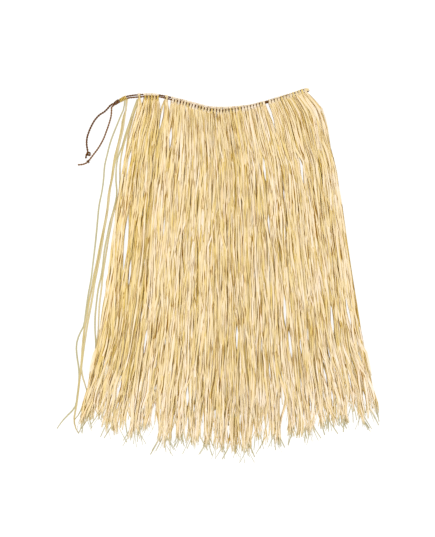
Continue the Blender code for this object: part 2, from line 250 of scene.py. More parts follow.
# The open overhand loop on tail A: down the left, round, and over itself to a stub.
LOOP_A = table(
    Spot,
    (-285.9, 269.7, 1.85), (-285.6, 267.7, 1.85), (-286.1, 265, 1.85), (-284.2, 262.3, 1.85),
    (-281.2, 263.8, 2.4), (-281.2, 267.4, 4), (-284.2, 269, 5.8), (-287.8, 265.6, 6.3),
    (-289.2, 260.9, 4.6), (-290.4, 256.4, 1.85),
)
# The join knot, between the waist cord's two ends and the tie tails.
KNOT_START = Spot(-211.6, 385.5, 4.9)
KNOT_END = Spot(-231.2, 373.2, 4.9)
CINCH = Spot(-220.5, 380.5, 5.1)
WRAP_START = Spot(-208, 386.6, 5.4)
# The middles of the tight knot on tail B and of the wrap at the fold.
TIGHT_KNOT = Spot(-285, 248.6, 4.5)
FOLD_CORNER = Spot(196.6, 406.8, 7.9)

# The body of strands: its edges from the hem up, and how low its strands reach.
BODY_ROWS = table(
    Row,
    (-412, -311, 362), (-342, -305, 357), (-267, -291, 347), (-162, -267, 322), (-56, -249, 306),
    (50, -236, 289), (155, -222, 273.5), (243, -208, 260), (278, -201, 250), (313, -194, 244),
    (340, -186, 238.5), (366, -178, 230), (384, -176, 219), (402, -174, 205),
)
LOCKS = table(
    Lock,
    (-307, -336), (-285, -332), (-265, -327), (-250, -354), (-234, -358), (-217, -346), (-199, -366),
    (-170, -352), (-144, -350), (-129, -384), (-98, -371), (-67, -384), (-32, -384), (-6, -393),
    (25, -399), (50, -400), (78, -374), (98, -381), (111, -378), (149, -361), (175, -363), (190, -361),
    (208, -347), (237, -340), (263, -334), (289, -314), (305, -333), (322, -320), (342, -308),
)
LAST_EDGE = 364.0
# How tall the locks are, in turn, as shares of the usual height.
LOCK_HEIGHTS = (0.75, 1.0, 1.25, 0.875, 1.125)
PARTINGS = table(
    Parting,
    (-115, 394, -131, 299, 4), (-102.4, 334, -104.6, 266, 6), (-185.5, 296, -202.5, 205, 5.5),
    (-111, 146, -123, 66, 5), (-194, 168, -209, -22, 8.5), (-153, -98, -164, -193, 6),
    (-187, 55, -199, -35, 6.5), (107.6, 383, 129.4, 318, 4.1), (99.9, 279.5, 106.1, 189.5, 5.5),
    (181.2, 274, 189.8, 188, 7), (111, 158, 114.5, 72, 6.5), (146.5, -30, 150.5, -130, 7.5),
    (248.5, -48, 255.5, -148, 7.5), (276.5, -40, 299.5, -130, 7.5), (154, -102, 166, -204, 7.5),
    (43, -94, 43, -186, 7), (180.1, -124, 186.9, -188, 6.5), (196.3, -116, 204.7, -172, 5.5),
    (240.5, -138, 248.5, -212, 7.5), (304, -132, 320, -224, 7.5), (233.4, -176, 239.6, -252, 7.5),
    (291.1, -170, 307.9, -248, 7.5), (254, -186, 265, -262, 7), (268.2, -228, 279.8, -303, 7.5),
    (248.8, -235, 257.2, -325, 7.5), (196.7, -247, 214.3, -337, 8),
    (285, -286, 290, -322, 16, Opening.WEDGE), (322, -300, 324, -318, 9, Opening.WEDGE),
    (204.5, -254, 210.5, -326, 6.5), (208, -318, 215, -342, 10, Opening.WEDGE),
    (142, -206, 143, -300, 11, Opening.WEDGE), (142, -270, 153, -374, 17, Opening.WEDGE),
    (99, -312, 101, -336, 5, Opening.WEDGE), (86, -320, 87, -350, 5, Opening.WEDGE),
    (-68.1, -232, -63.9, -302, 6), (-93, -314, -96, -360, 9, Opening.WEDGE),
    (-129, -274, -130, -330, 6, Opening.WEDGE), (-131, -310, -143, -362, 22, Opening.WEDGE),
    (-132.4, -216, -138.6, -286, 7.5), (-157.2, -260, -164.8, -336, 9.5), (-151, -218, -151, -272, 8.5),
    (-184, -308, -193, -336, 5, Opening.WEDGE), (-211, -208, -224, -298, 9.5),
    (-203.6, -252, -228.4, -322, 8.5), (-242.1, -244, -249.9, -318, 7.5),
    (-251.8, -238, -267.2, -304, 6.5), (-276.4, -240, -300.6, -318, 7.5), (-270, -130, -283, -210, 5),
    (-236.4, -172, -253.6, -258, 6.5),
)
# Girths from root to tip: of most strands, of strays and of loose wisps.
GIRTHS = table(
    Girth,
    (0, 0.58), (0.015, 0.62), (0.045, 0.72), (0.09, 0.84), (0.16, 1), (0.86, 1), (0.93, 0.97),
    (0.965, 0.86), (0.985, 0.7), (1, 0.42),
)
STRAY_GIRTHS = table(
    Girth,
    (0, 0.46), (0.045, 0.62), (0.16, 0.85), (0.86, 0.8), (0.95, 0.6), (1, 0.5),
)
WISP_GIRTHS = table(
    Girth,
    (0, 0.7), (0.1, 0.9), (0.85, 1), (0.95, 0.85), (1, 0.45),
)

# Runs of hitches along the cord. The cord is bare between the front's two runs.
FRONT_LAYER = Layer(36.0, 416.8)
BACK_LAYER = Layer(809.2, 435.2)
FRONT_LEFT_RUN = Run(FRONT_LAYER, 36.0, 83.6, 7, missing=(1,))
FRONT_RUN = Run(FRONT_LAYER, 97.2, 416.8, 47, missing=(1, 33))
BACK_RUN = Run(BACK_LAYER, 435.2, 809.2, 55, missing=(12, 44, 46, 47, 53))

# Loose wisps beside the knot, which fall outside the body's left edge.
WISP_1 = table(
    Spot,
    (-204, 387, 5.6), (-207, 364, 3.1), (-212, 353, 1.6), (-221, 331, 1.6), (-230, 309, 1.2),
    (-237, 289, 1.2), (-243, 265, 1.2), (-249, 239, 1.2), (-251, 212, 1.2), (-255, 182, 1.3),
    (-261, 153, 1.4), (-264, 124, 1.5), (-267, 91, 1.6), (-271, 54, 1.7), (-275, 21, 1.8),
    (-279, -12, 1.7), (-285, -45, 1.6), (-290, -80, 1.5), (-296, -116, 1.4), (-305, -133, 1.3),
    (-311, -155, 1.2), (-310, -179, 1.2), (-306, -206, 1.2), (-305, -232, 1.2), (-309, -265, 1.2),
    (-315, -294, 1.2), (-329, -309, 1.2), (-343, -324, 1), (-354, -340, 0.8),
)
WISP_2 = table(
    Spot,
    (-201, 387.5, 5.8), (-202, 362, 3.2), (-208, 346, 1.8), (-211, 327, 1.8), (-215, 305, 1.4),
    (-220, 283, 1.4), (-226, 261, 1.4), (-230, 237, 1.4), (-234, 208, 1.4), (-240, 179, 1.4),
    (-243, 146, 1.4), (-249, 111, 1.5), (-255, 82, 1.7), (-261, 54, 1.9), (-266, 25, 2),
    (-272, -1, 2.2), (-277, -30, 2.4), (-283, -58, 2.3), (-287, -87, 2.1), (-293, -118, 1.9),
    (-297, -155, 1.8), (-300, -193, 1.6), (-304, -228, 1.4), (-308, -263, 1.4), (-312, -294, 1.4),
    (-316, -316, 1.4), (-314, -336, 1), (-306, -351, 0.8),
)
WISP_3 = table(
    Spot,
    (-198, 387.5, 6), (-204, 351, 3.5), (-209, 318, 2.2), (-216, 289, 1.8), (-221, 267, 1.8),
    (-227, 243, 1.8), (-231, 217, 1.8), (-237, 188, 1.8), (-240, 160, 1.8), (-244, 129, 1.8),
    (-250, 98, 2.1), (-255, 65, 2.4), (-260, 36, 2.8), (-265, 10, 3.1), (-271, -19, 3.5),
    (-275, -47, 3.4), (-280, -74, 3.1), (-285, -100, 2.7), (-290, -131, 2.4), (-295, -162, 2),
    (-298, -188, 1.8), (-300, -210, 1.8), (-296, -230, 1.8), (-290, -250, 1), (-287, -263, 0.8),
)
WISP_4 = table(
    Spot,
    (-176.5, 386, 6.2), (-188, 355, 3.2), (-195, 333, 1.6), (-204, 305, 1.6), (-211, 280, 1.2),
    (-219, 261, 1.2), (-223, 237, 1.2), (-224, 208, 1.2), (-222, 177, 1.3), (-230, 140, 1.3),
    (-238, 111, 1.4), (-243, 85, 1.5), (-249, 56, 1.5), (-252, 30, 1.6), (-256, -1, 1.5),
    (-263, -32, 1.5), (-267, -63, 1.4), (-270, -96, 1.3), (-270, -127, 1.3), (-268, -157, 1.2),
    (-271, -184, 1.2), (-276, -215, 1.2), (-282, -239, 1.2), (-289, -263, 1.2), (-297, -287, 1.2),
    (-305, -307, 1), (-315, -320, 0.8),
)
WISP_5 = table(
    Spot,
    (-174, 386.5, 6.4), (-190, 344, 3.5), (-198, 316, 2), (-206, 289, 1.6), (-212, 263, 1.6),
    (-215, 234, 1.6), (-215, 208, 1.6), (-217, 182, 1.6), (-222, 157, 1.6), (-230, 133, 1.7),
    (-235, 107, 1.7), (-241, 76, 1.7), (-245, 50, 1.8), (-249, 25, 1.8), (-253, -1, 1.7),
    (-256, -32, 1.7), (-260, -63, 1.7), (-262, -96, 1.6), (-263, -127, 1.6), (-266, -155, 1.6),
    (-267, -184, 1.6), (-271, -215, 1.6), (-275, -245, 1.6), (-280, -272, 1.6), (-287, -302, 1),
    (-301, -324, 0.8),
)
WISP_6 = table(
    Spot,
    (-172, 386.5, 6.4), (-184, 355, 3.5), (-190, 333, 2), (-196, 311, 1.6), (-199, 285, 1.6),
    (-202, 261, 1.6), (-206, 237, 1.6), (-209, 208, 1.6), (-211, 175, 1.7), (-216, 142, 1.7),
    (-221, 109, 1.8), (-226, 76, 1.9), (-232, 50, 2), (-237, 28, 2), (-240, -1, 1.9), (-243, -30, 1.8),
    (-249, -56, 1.7), (-254, -89, 1.7), (-258, -122, 1.6), (-261, -155, 1.6), (-264, -184, 1.6),
    (-267, -221, 1.6), (-275, -258, 1.6), (-279, -287, 1.6), (-283, -309, 1), (-300, -340, 0.8),
)
WISPS = table(
    Wisp,
    (4, 0.3, 1, WISP_1),
    (4.6, 0.1, 0.991, WISP_2),
    (4.3, 0.25, 0.992, WISP_3),
    (4, 0.2, 0.997, WISP_4),
    (3.9, 0.3, 0.991, WISP_5),
    (4.4, 0.1, 0.99, WISP_6),
)


# --- Finishes -----------------------------------------------------------------------
class NodeBench:
    """A material's node tree, with short ways to add and join nodes."""

    def __init__(self, name: str) -> None:
        """Starts a material with a Principled shader.

        Args:
            name: The material's name.
        """
        self.material = bpy.data.materials.new(name)
        self.material.use_nodes = True
        self.tree = self.material.node_tree
        self.shader = self.tree.nodes["Principled BSDF"]

    def add(self, kind: str, **settings: object) -> bpy.types.Node:
        """Adds a node.

        Args:
            kind: The node's type name.
            settings: Properties of the node.

        Returns:
            The new node.
        """
        node = self.tree.nodes.new(kind)
        for name, value in settings.items():
            setattr(node, name, value)
        return node

    def join(self, output: Socket, entry: Socket) -> None:
        """Links an output to an input."""
        self.tree.links.new(output, entry)

    def feed(self, entry: Socket, value: object) -> None:
        """Feeds an input.

        Args:
            entry: The input.
            value: A socket to link, a linear colour or a number.
        """
        if isinstance(value, Socket):
            self.join(value, entry)
        else:
            entry.default_value = (*value, 1.0) if isinstance(value, tuple) else value

    def marks(self) -> tuple:
        """The marks of a leaf or a ply: its tone or ply, its run, and its side or fading."""
        marks = self.add("ShaderNodeAttribute", attribute_name=MARKS)
        parts = self.add("ShaderNodeSeparateXYZ")
        self.join(marks.outputs["Vector"], parts.inputs[0])
        return tuple(parts.outputs)

    def places(self) -> Socket:
        """The places across and along a leaf or a ply."""
        return self.add("ShaderNodeUVMap", uv_map=PLACES).outputs[0]

    def math(self, operation: str, *values: object) -> Socket:
        """Adds a Math node fed by sockets or numbers.

        Args:
            operation: The Math node's operation.
            values: Its inputs, each a socket or a number.

        Returns:
            The node's output.
        """
        node = self.add("ShaderNodeMath", operation=operation)
        for entry, value in zip(node.inputs, values):
            self.feed(entry, value)
        return node.outputs[0]

    def swing(self, value: Socket, depth: float) -> Socket:
        """A value from 0 to 1 as a swing of that depth, half of it below nothing."""
        return self.math("MULTIPLY_ADD", value, depth, -depth / 2)

    def noise(self, vector: Socket, grain: Grain) -> Socket:
        """Noise over a vector that is first stretched.

        Args:
            vector: The coordinates.
            grain: The noise's scales and octaves.

        Returns:
            The noise's value, from 0 to 1.
        """
        mapping = self.add("ShaderNodeMapping")
        mapping.inputs["Scale"].default_value = (grain.across, grain.along, 1.0)
        self.join(vector, mapping.inputs["Vector"])
        noise = self.add("ShaderNodeTexNoise")
        noise.inputs["Scale"].default_value = 1.0
        noise.inputs["Detail"].default_value = grain.octaves
        self.join(mapping.outputs[0], noise.inputs["Vector"])
        return noise.outputs["Fac"]

    def ramp(self, value: Socket, stops: tuple) -> Socket:
        """A colour ramp.

        Args:
            value: Where on the ramp to read.
            stops: Pairs of position and linear colour, in order.

        Returns:
            The ramp's colour.
        """
        node = self.add("ShaderNodeValToRGB")
        elements = node.color_ramp.elements
        while len(elements) < len(stops):
            elements.new(1.0)
        for element, (position, colour) in zip(elements, stops):
            element.position = position
            element.color = (*colour, 1.0)
        self.join(value, node.inputs[0])
        return node.outputs[0]

    def span(self, value: Socket, source: tuple, target: tuple) -> Socket:
        """Maps a value from one range to another, held at the ends.

        Args:
            value: The value.
            source: Its lowest and highest.
            target: What those become.

        Returns:
            The mapped value.
        """
        node = self.add("ShaderNodeMapRange")
        for entry, number in zip(node.inputs[1:5], (*source, *target)):
            entry.default_value = number
        self.join(value, node.inputs[0])
        return node.outputs[0]

    def blend(self, value: Socket, blend: Blend) -> Socket:
        """How strong an effect is where the value is read."""
        return self.span(value, (blend.start, blend.full), (0.0, blend.strength))

    def mix(self, share: object, first: object, second: object, way: str = "MIX") -> Socket:
        """Mixes two colours.

        Args:
            share: How much of the second, a socket or a number.
            first: The first colour, a socket or a tuple.
            second: The second colour, a socket or a tuple.
            way: The way they mix.

        Returns:
            The mixed colour.
        """
        node = self.add("ShaderNodeMix", data_type="RGBA", blend_type=way)
        for number, value in ((0, share), (6, first), (7, second)):
            self.feed(node.inputs[number], value)
        return node.outputs[2]

    def gloss(self, value: Socket, smooth: float, rough: float, specular: float) -> None:
        """Sets how the shader reflects.

        Args:
            value: What the roughness varies with, from 0 to 1.
            smooth: The roughness where it is low.
            rough: The roughness where it is high.
            specular: How strongly it reflects.
        """
        spread = self.span(value, NOISE_RANGE, (smooth, rough))
        self.join(spread, self.shader.inputs["Roughness"])
        self.shader.inputs["Specular IOR Level"].default_value = specular

    def bump(self, height: Socket, strength: float, depth: float) -> None:
        """Gives the shader a bump.

        Args:
            height: What the bump follows, from 0 to 1.
            strength: How strong it is.
            depth: How deep it is, in metres.
        """
        node = self.add("ShaderNodeBump")
        node.inputs["Strength"].default_value = strength
        node.inputs["Distance"].default_value = depth
        self.join(height, node.inputs["Height"])
        self.join(node.outputs[0], self.shader.inputs["Normal"])


@dataclass(frozen=True)
class RaffiaFinish:
    """Dried raffia leaf: straw tones that differ by strand and dry tips, with painted shade in dark
    rims and streaks and in the strands' tones.

    The grains are those of its noises, and the swings say how far a noise moves what it
    acts on.
    """

    name: str
    tones: tuple
    tip: tuple
    pink: tuple
    gold: tuple
    warm_shade: tuple
    shadow: tuple
    smooth: float = 0.48
    rough: float = 0.72
    specular: float = 0.12
    fibre_grain: Grain = Grain(1400.0, 12.0, 3.0)
    blotch_grain: Grain = Grain(340.0, 15.0, 2.0)
    hue_grain: Grain = Grain(90.0, 12.0, 1.0)
    patch_grain: Grain = Grain(16.0, 9.0, 1.0)
    shade_streak_grain: Grain = Grain(420.0, 22.0, 2.0)
    edge_grain: Grain = Grain(140.0, 20.0, 1.0)
    blotch_swing: float = 1.3
    patch_swing: float = 0.3
    rim_swing: float = 2.9
    dried_blend: Blend = Blend(0.80, 0.95, 0.20)
    pink_blend: Blend = Blend(0.54, 0.68, 0.40)
    gold_blend: Blend = Blend(0.46, 0.32, 0.40)
    root_shade_blend: Blend = Blend(0.14, 0.0, 0.16)
    warm_shade_blend: Blend = Blend(0.70, 1.02, 0.9)
    rim_shade_blend: Blend = Blend(0.95, 1.05, 1.0)
    outline_shade_blend: Blend = Blend(0.84, 0.96, 0.30)
    shade_streak_blend: Blend = Blend(0.38, 0.32, 0.85)
    tip_blend: Blend = Blend(0.980, 1.0, 0.80)
    fine_from: tuple = (0.92, 0.99)
    fine_share: float = 0.50
    fibre_depth: float = 0.25 * MM
    fibre_strength: float = 0.5

    def material(self) -> Material:
        """The material, which reads the leaf's own marks and UV map."""
        bench = NodeBench(self.name)
        tone, run, side = bench.marks()
        leaf = bench.places()
        # The leaf's colour, by strand, blotch, place and hue; the strand's tone carries painted shade
        # where it lies low or its curtain is shaded.
        blotches = bench.noise(leaf, self.blotch_grain)
        place = bench.add("ShaderNodeTexCoord").outputs["Object"]
        patches = bench.noise(place, self.patch_grain)
        shift = bench.swing(blotches, self.blotch_swing)
        shift = bench.math("ADD", shift, bench.swing(patches, self.patch_swing))
        shift = bench.math("ADD", shift, bench.blend(run, self.dried_blend))
        colour = bench.ramp(bench.math("ADD", tone, shift), self.tones)
        hues = bench.noise(leaf, self.hue_grain)
        colour = bench.mix(bench.blend(hues, self.pink_blend), colour, self.pink)
        colour = bench.mix(bench.blend(hues, self.gold_blend), colour, self.gold)
        # Painted shade: dark rims that come and go along the leaf, standing for the shade in the gaps
        # between strands, with a band of warm golden shade inside them.
        edge = bench.math("ABSOLUTE", side)
        fading = bench.swing(bench.noise(leaf, self.edge_grain), self.rim_swing)
        rim = bench.math("ADD", edge, fading)
        # The painted shade at the rims is wider near the root, where the strands crowd at the hitches.
        rim = bench.math("ADD", rim, bench.blend(run, self.root_shade_blend))
        # Painted shade: a warm golden shade, multiplied in just inside the rims.
        warm_shade = bench.mix(1.0, colour, self.warm_shade, "MULTIPLY")
        colour = bench.mix(bench.blend(rim, self.warm_shade_blend), colour, warm_shade)
        # Painted shade: a dark outline all along each leaf's edges.
        outline = bench.blend(edge, self.outline_shade_blend)
        edges = bench.math("MAXIMUM", bench.blend(rim, self.rim_shade_blend), outline)
        # The painted shade at the rims fades towards the tip.
        fine = bench.span(run, self.fine_from, (1.0, self.fine_share))
        edges = bench.math("MULTIPLY", edges, fine)
        # Painted shade: short dark streaks along the leaf, darkened with the shadow colour like the
        # rims.
        shade_streaks = bench.blend(bench.noise(leaf, self.shade_streak_grain), self.shade_streak_blend)
        shaded = bench.mix(1.0, colour, self.shadow, "MULTIPLY")
        colour = bench.mix(bench.math("MAXIMUM", shade_streaks, edges), colour, shaded)
        # The dry tip, and the surface.
        colour = bench.mix(bench.blend(run, self.tip_blend), colour, self.tip)
        bench.join(colour, bench.shader.inputs["Base Color"])
        bench.gloss(blotches, self.smooth, self.rough, self.specular)
        fibres = bench.noise(leaf, self.fibre_grain)
        bench.bump(fibres, self.fibre_strength, self.fibre_depth)
        return bench.material


@dataclass(frozen=True)
class CordFinish:
    """Hand-twisted fibre cord: reddish-brown and olive plies with coarse strands."""

    name: str
    brown: tuple
    olive: tuple
    pale: tuple
    smooth: float = 0.82
    rough: float = 0.95
    specular: float = 0.08
    fibre_grain: Grain = Grain(2600.0, 420.0, 2.0)
    patch_grain: Grain = Grain(60.0, 95.0, 2.0)
    patch_swing: float = 1.5
    olive_blend: Blend = Blend(0.2, 0.8, 1.0)
    pale_blend: Blend = Blend(0.55, 0.75, 0.40)
    fibre_depth: float = 0.3 * MM
    fibre_strength: float = 0.7

    def material(self) -> Material:
        """The material, which reads the cord's own marks and UV map."""
        bench = NodeBench(self.name)
        ply, _, fading = bench.marks()
        lay = bench.places()
        fibres = bench.noise(lay, self.fibre_grain)
        patches = bench.swing(bench.noise(lay, self.patch_grain), self.patch_swing)
        share = bench.blend(bench.math("ADD", ply, patches), self.olive_blend)
        colour = bench.mix(share, self.brown, self.olive)
        faded = bench.math("ADD", bench.blend(fibres, self.pale_blend), fading)
        colour = bench.mix(faded, colour, self.pale)
        bench.join(colour, bench.shader.inputs["Base Color"])
        bench.gloss(fibres, self.smooth, self.rough, self.specular)
        bench.bump(fibres, self.fibre_strength, self.fibre_depth)
        return bench.material


@dataclass(frozen=True)
class FloorFinish:
    """A plain pale floor that lights what lies on it a little from below."""

    name: str
    colour: tuple
    glow: float
    roughness: float = 0.9
    glow_colour: tuple = (1.0, 1.0, 1.0)

    def material(self) -> Material:
        """The material, with one colour and an even glow."""
        bench = NodeBench(self.name)
        bench.feed(bench.shader.inputs["Base Color"], self.colour)
        bench.feed(bench.shader.inputs["Roughness"], self.roughness)
        bench.feed(bench.shader.inputs["Emission Color"], self.glow_colour)
        bench.feed(bench.shader.inputs["Emission Strength"], self.glow)
        return bench.material


STRAW_TONES = (
    (0.00, (0.46, 0.30, 0.045)),
    (0.15, (0.61, 0.435, 0.105)),
    (0.35, (0.72, 0.57, 0.25)),
    (0.55, (0.77, 0.64, 0.40)),
    (0.75, (0.81, 0.70, 0.52)),
    (1.00, (0.87, 0.785, 0.70)),
)
RAFFIA = RaffiaFinish(
    name="raffia_straw_leaf",
    tones=STRAW_TONES,
    tip=(0.38, 0.385, 0.265),
    pink=(0.88, 0.68, 0.48),
    gold=(0.73, 0.555, 0.175),
    warm_shade=(0.98, 0.92, 0.58),
    shadow=(0.36, 0.215, 0.020),
)
CORD_FIBRE = CordFinish(
    name="two_ply_cord_fibre",
    brown=(0.15, 0.052, 0.016),
    olive=(0.15, 0.080, 0.026),
    pale=(0.34, 0.18, 0.075),
)
FLOOR = FloorFinish(name="pale_floor", colour=(0.17, 0.17, 0.17), glow=0.89)


# --- Lines and meshes ---------------------------------------------------------------
def unit(rows: np.ndarray) -> np.ndarray:
    """The rows, each scaled to a length of one."""
    return rows / np.linalg.norm(rows, axis=-1, keepdims=True)


def quarter_turn(heading: np.ndarray) -> np.ndarray:
    """The level direction that lies a quarter turn to the left of another."""
    return np.array([-heading[1], heading[0], 0.0])


def lengths_along(line: np.ndarray) -> np.ndarray:
    """How far along a line each of its points is."""
    steps = np.linalg.norm(np.diff(line, axis=0), axis=1)
    return np.concatenate([[0.0], np.cumsum(steps)])


def smooth_step(value: np.ndarray, low: float, high: float) -> np.ndarray:
    """0 below low, 1 above high, and an easy curve between them."""
    share = np.clip((value - low) / (high - low), 0.0, 1.0)
    return share * share * (3 - 2 * share)


def column_of(rows: tuple, value: np.ndarray, key: str, name: str) -> np.ndarray:
    """A table's column in metres, read in straight lines between its rows.

    Args:
        rows: The table, in millimetres.
        value: Where to read it, in metres.
        key: The column to look in.
        name: The column to read.

    Returns:
        The column's values there.
    """
    keys = np.array([getattr(row, key) for row in rows]) * MM
    return np.interp(value, keys, np.array([getattr(row, name) for row in rows]) * MM)


class Route:
    """A smooth line through given spots, measured along its length in metres."""

    POINTS_PER_SPAN = 24
    REACH = 1.0 * MM

    def __init__(self, spots: tuple | np.ndarray) -> None:
        """Makes the line, level at each spot where it stops rising or falling.

        Args:
            spots: The spots that it passes through, in millimetres.
        """
        knots = np.array(spots, float) * MM
        runs = np.diff(knots, axis=0)
        spans = np.linalg.norm(runs, axis=1)
        runs /= spans[:, None]
        slopes = np.vstack([runs[:1], runs])
        before, after = spans[:-1, None], spans[1:, None]
        slopes[1:-1] = (runs[:-1] * after + runs[1:] * before) / (before + after)
        level = runs[:-1, 2] * runs[1:, 2] <= 0
        slopes[1:-1][level, 2] = 0.0
        share = np.linspace(0, 1, self.POINTS_PER_SPAN, endpoint=False)[:, None]
        line = []
        for index, span in enumerate(spans):
            start, end = knots[index], knots[index + 1]
            leaving = start + slopes[index] * span / 3
            arriving = end - slopes[index + 1] * span / 3
            line.append(
                start * (1 - share) ** 3
                + 3 * leaving * share * (1 - share) ** 2
                + 3 * arriving * share**2 * (1 - share)
                + end * share**3
            )
        self.points = np.vstack([*line, knots[-1:]])
        self.lengths = lengths_along(self.points)

    @property
    def length(self) -> float:
        """The line's whole length."""
        return float(self.lengths[-1])

    def at(self, distances: float | np.ndarray) -> np.ndarray:
        """The point at a distance along the line, or a row for each of some distances."""
        columns = [np.interp(distances, self.lengths, column) for column in self.points.T]
        return np.stack(columns, axis=-1)

    def down(self, distance: float, side: int) -> np.ndarray:
        """The level direction down into the skirt, square to the line.

        Args:
            distance: How far along the line.
            side: +1 on the front layer and -1 on the back layer.

        Returns:
            A unit vector.
        """
        ends = self.at(np.array([distance - self.REACH, distance + self.REACH]))
        run = (ends[1] - ends[0])[:2]
        run /= np.linalg.norm(run)
        return np.array([run[1], -run[0], 0.0]) * side


def select_only(piece: Piece) -> None:
    """Deselects everything and then selects one piece.

    Args:
        piece: The piece.
    """
    bpy.ops.object.select_all(action="DESELECT")
    piece.select_set(True)
    bpy.context.view_layer.objects.active = piece


def spread_out(columns: tuple, shape: tuple) -> np.ndarray:
    """One row for each corner of some cross-sections.

    Args:
        columns: What the rows hold, each a number or an array that spreads to the shape.
        shape: How many cross-sections there are, and how many corners each has.

    Returns:
        The rows.
    """
    return np.stack([np.broadcast_to(column, shape).ravel() for column in columns], axis=-1)


class TubeHeap:
    """Collects closed tubes, lifts what the floor would cut, and joins them into one mesh."""

    def __init__(self) -> None:
        """Starts with no tubes."""
        self.points: list[np.ndarray] = []
        self.marks: list[np.ndarray] = []
        self.places: list[np.ndarray] = []
        self.faces: list[tuple] = []
        self.count = 0

    def add(self, rings: np.ndarray, marks: tuple, places: tuple) -> None:
        """Adds one tube.

        Args:
            rings: Its cross-sections, as stations by sides by three.
            marks: Its points' tone or ply, their run, and their side or fading.
            places: Its points' places across and along, for the UV map.
        """
        lift = np.maximum(FLOOR_CLEARANCE - rings[..., 2].min(axis=1), 0.0)
        rings = rings + lift[:, None, None] * UP
        stations, sides = rings.shape[:2]
        index = self.count + np.arange(stations * sides).reshape(stations, sides)
        after = np.roll(index, -1, axis=1)
        walls = np.stack([index[:-1], after[:-1], after[1:], index[1:]], axis=-1)
        self.faces += map(tuple, walls.reshape(-1, 4).tolist())
        self.faces.append(tuple(index[0, ::-1].tolist()))
        self.faces.append(tuple(index[-1].tolist()))
        self.points.append(rings.reshape(-1, 3))
        self.marks.append(spread_out(marks, (stations, sides)))
        self.places.append(spread_out(places, (stations, sides)))
        self.count += stations * sides

    def finish(self, name: str, material: Material) -> Piece:
        """Makes one piece from all the tubes.

        Args:
            name: The piece's name.
            material: Its finish.

        Returns:
            The piece, which lies where the tubes do.
        """
        mesh = bpy.data.meshes.new(name)
        mesh.from_pydata(np.vstack(self.points).tolist(), [], self.faces)
        marks = mesh.attributes.new(MARKS, "FLOAT_VECTOR", "POINT")
        marks.data.foreach_set("vector", np.vstack(self.marks).astype(np.float32).ravel())
        corners = np.empty(len(mesh.loops), np.int32)
        mesh.loops.foreach_get("vertex_index", corners)
        places = mesh.uv_layers.new(name=PLACES)
        spread = np.vstack(self.places).astype(np.float32)[corners]
        places.uv.foreach_set("vector", spread.ravel())
        mesh.materials.append(material)
        piece = bpy.data.objects.new(name, mesh)
        bpy.context.scene.collection.objects.link(piece)
        select_only(piece)
        bpy.ops.object.shade_smooth_by_angle(angle=SMOOTH_ANGLE)
        return piece


@dataclass
class OnePiece:
    """A sub-assembly that is one piece: its name and the node it replaces, if any."""

    name: str
    node: str | None

    def fill(self, heap: TubeHeap) -> None:
        """Adds the piece's tubes to a heap."""
        raise NotImplementedError

    def build(self, finish: Material) -> Piece:
        """Builds the piece.

        Args:
            finish: Its material.

        Returns:
            The piece.
        """
        heap = TubeHeap()
        self.fill(heap)
        piece = heap.finish(self.name, finish)
        if self.node is not None:
            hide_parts(self.node)
        return piece


def tube_rings(centres: np.ndarray, sides: np.ndarray, section: np.ndarray) -> np.ndarray:
    """Cross-sections set square to a line.

    Args:
        centres: The line's points.
        sides: At each point, the direction that the section's width should face.
        section: At each point, the section's corners as width and height offsets.

    Returns:
        The corners, as stations by sides by three.
    """
    headings = unit(np.gradient(centres, axis=0))
    sides = unit(sides - (sides * headings).sum(-1, keepdims=True) * headings)
    ups = np.cross(headings, sides)
    across = section[..., :1] * sides[:, None]
    return centres[:, None] + across + section[..., 1:] * ups[:, None]


# --- Cord, knots and wraps ----------------------------------------------------------
@dataclass
class TwistedCord:
    """A two-ply cord: two round plies that wind round one centre line."""

    diameter: float = 4.7 * MM
    turn: float = 11.0 * MM
    steps_per_turn: int = 8
    ply_sides: int = 6
    ply_share: float = 0.56
    ply_shift: float = 0.3
    fading: float = 0.0

    def add_to(self, heap: TubeHeap, route: Route, shift: float) -> None:
        """Adds both plies to a heap.

        Args:
            heap: Where they go.
            route: The cord's centre line.
            shift: Where its colours start, so that cords differ.
        """
        count = max(4, math.ceil(route.length / self.turn * self.steps_per_turn))
        distances = np.linspace(0.0, route.length, count + 1)
        centres = route.at(distances)
        headings = unit(np.gradient(centres, axis=0))
        level = unit(np.cross(headings, UP))
        rise = np.cross(level, headings)
        ply_radius = self.diameter / 2 * self.ply_share
        reach = self.diameter / 2 - ply_radius
        round_the_ply = np.arange(self.ply_sides) * 2 * np.pi / self.ply_sides
        for ply in (0, 1):
            turned = (2 * np.pi * distances / self.turn + np.pi * ply)[:, None]
            lines = centres + reach * (level * np.cos(turned) + rise * np.sin(turned))
            around = turned + round_the_ply[None, :]
            section = ply_radius * np.stack([np.cos(around), np.sin(around)], axis=-1)
            rings = tube_rings(lines, level, section)
            marks = (ply, distances[:, None] / route.length, self.fading)
            across = np.sin(round_the_ply) * ply_radius + shift + self.ply_shift * ply
            heap.add(rings, marks, (across, distances[:, None] + shift))


@dataclass(frozen=True)
class Winding:
    """Turns wound round an axis, such as a tight knot's or a wrap's."""

    place: Spot
    axis: tuple
    radius: float
    turns: float
    pitch: float
    steps_per_turn: int = 16

    def line(self) -> np.ndarray:
        """The middle line of the turns, in metres."""
        along = unit(np.array(self.axis))
        level = unit(np.cross(along, UP))
        rise = np.cross(level, along)
        count = round(self.turns * self.steps_per_turn)
        share = np.linspace(0.0, 1.0, count + 1)[:, None]
        angle = 2 * np.pi * self.turns * share
        slide = (share - 0.5) * self.pitch * self.turns
        centre = np.array(self.place) * MM
        circle = self.radius * (level * np.cos(angle) + rise * np.sin(angle))
        return centre + circle + along * slide


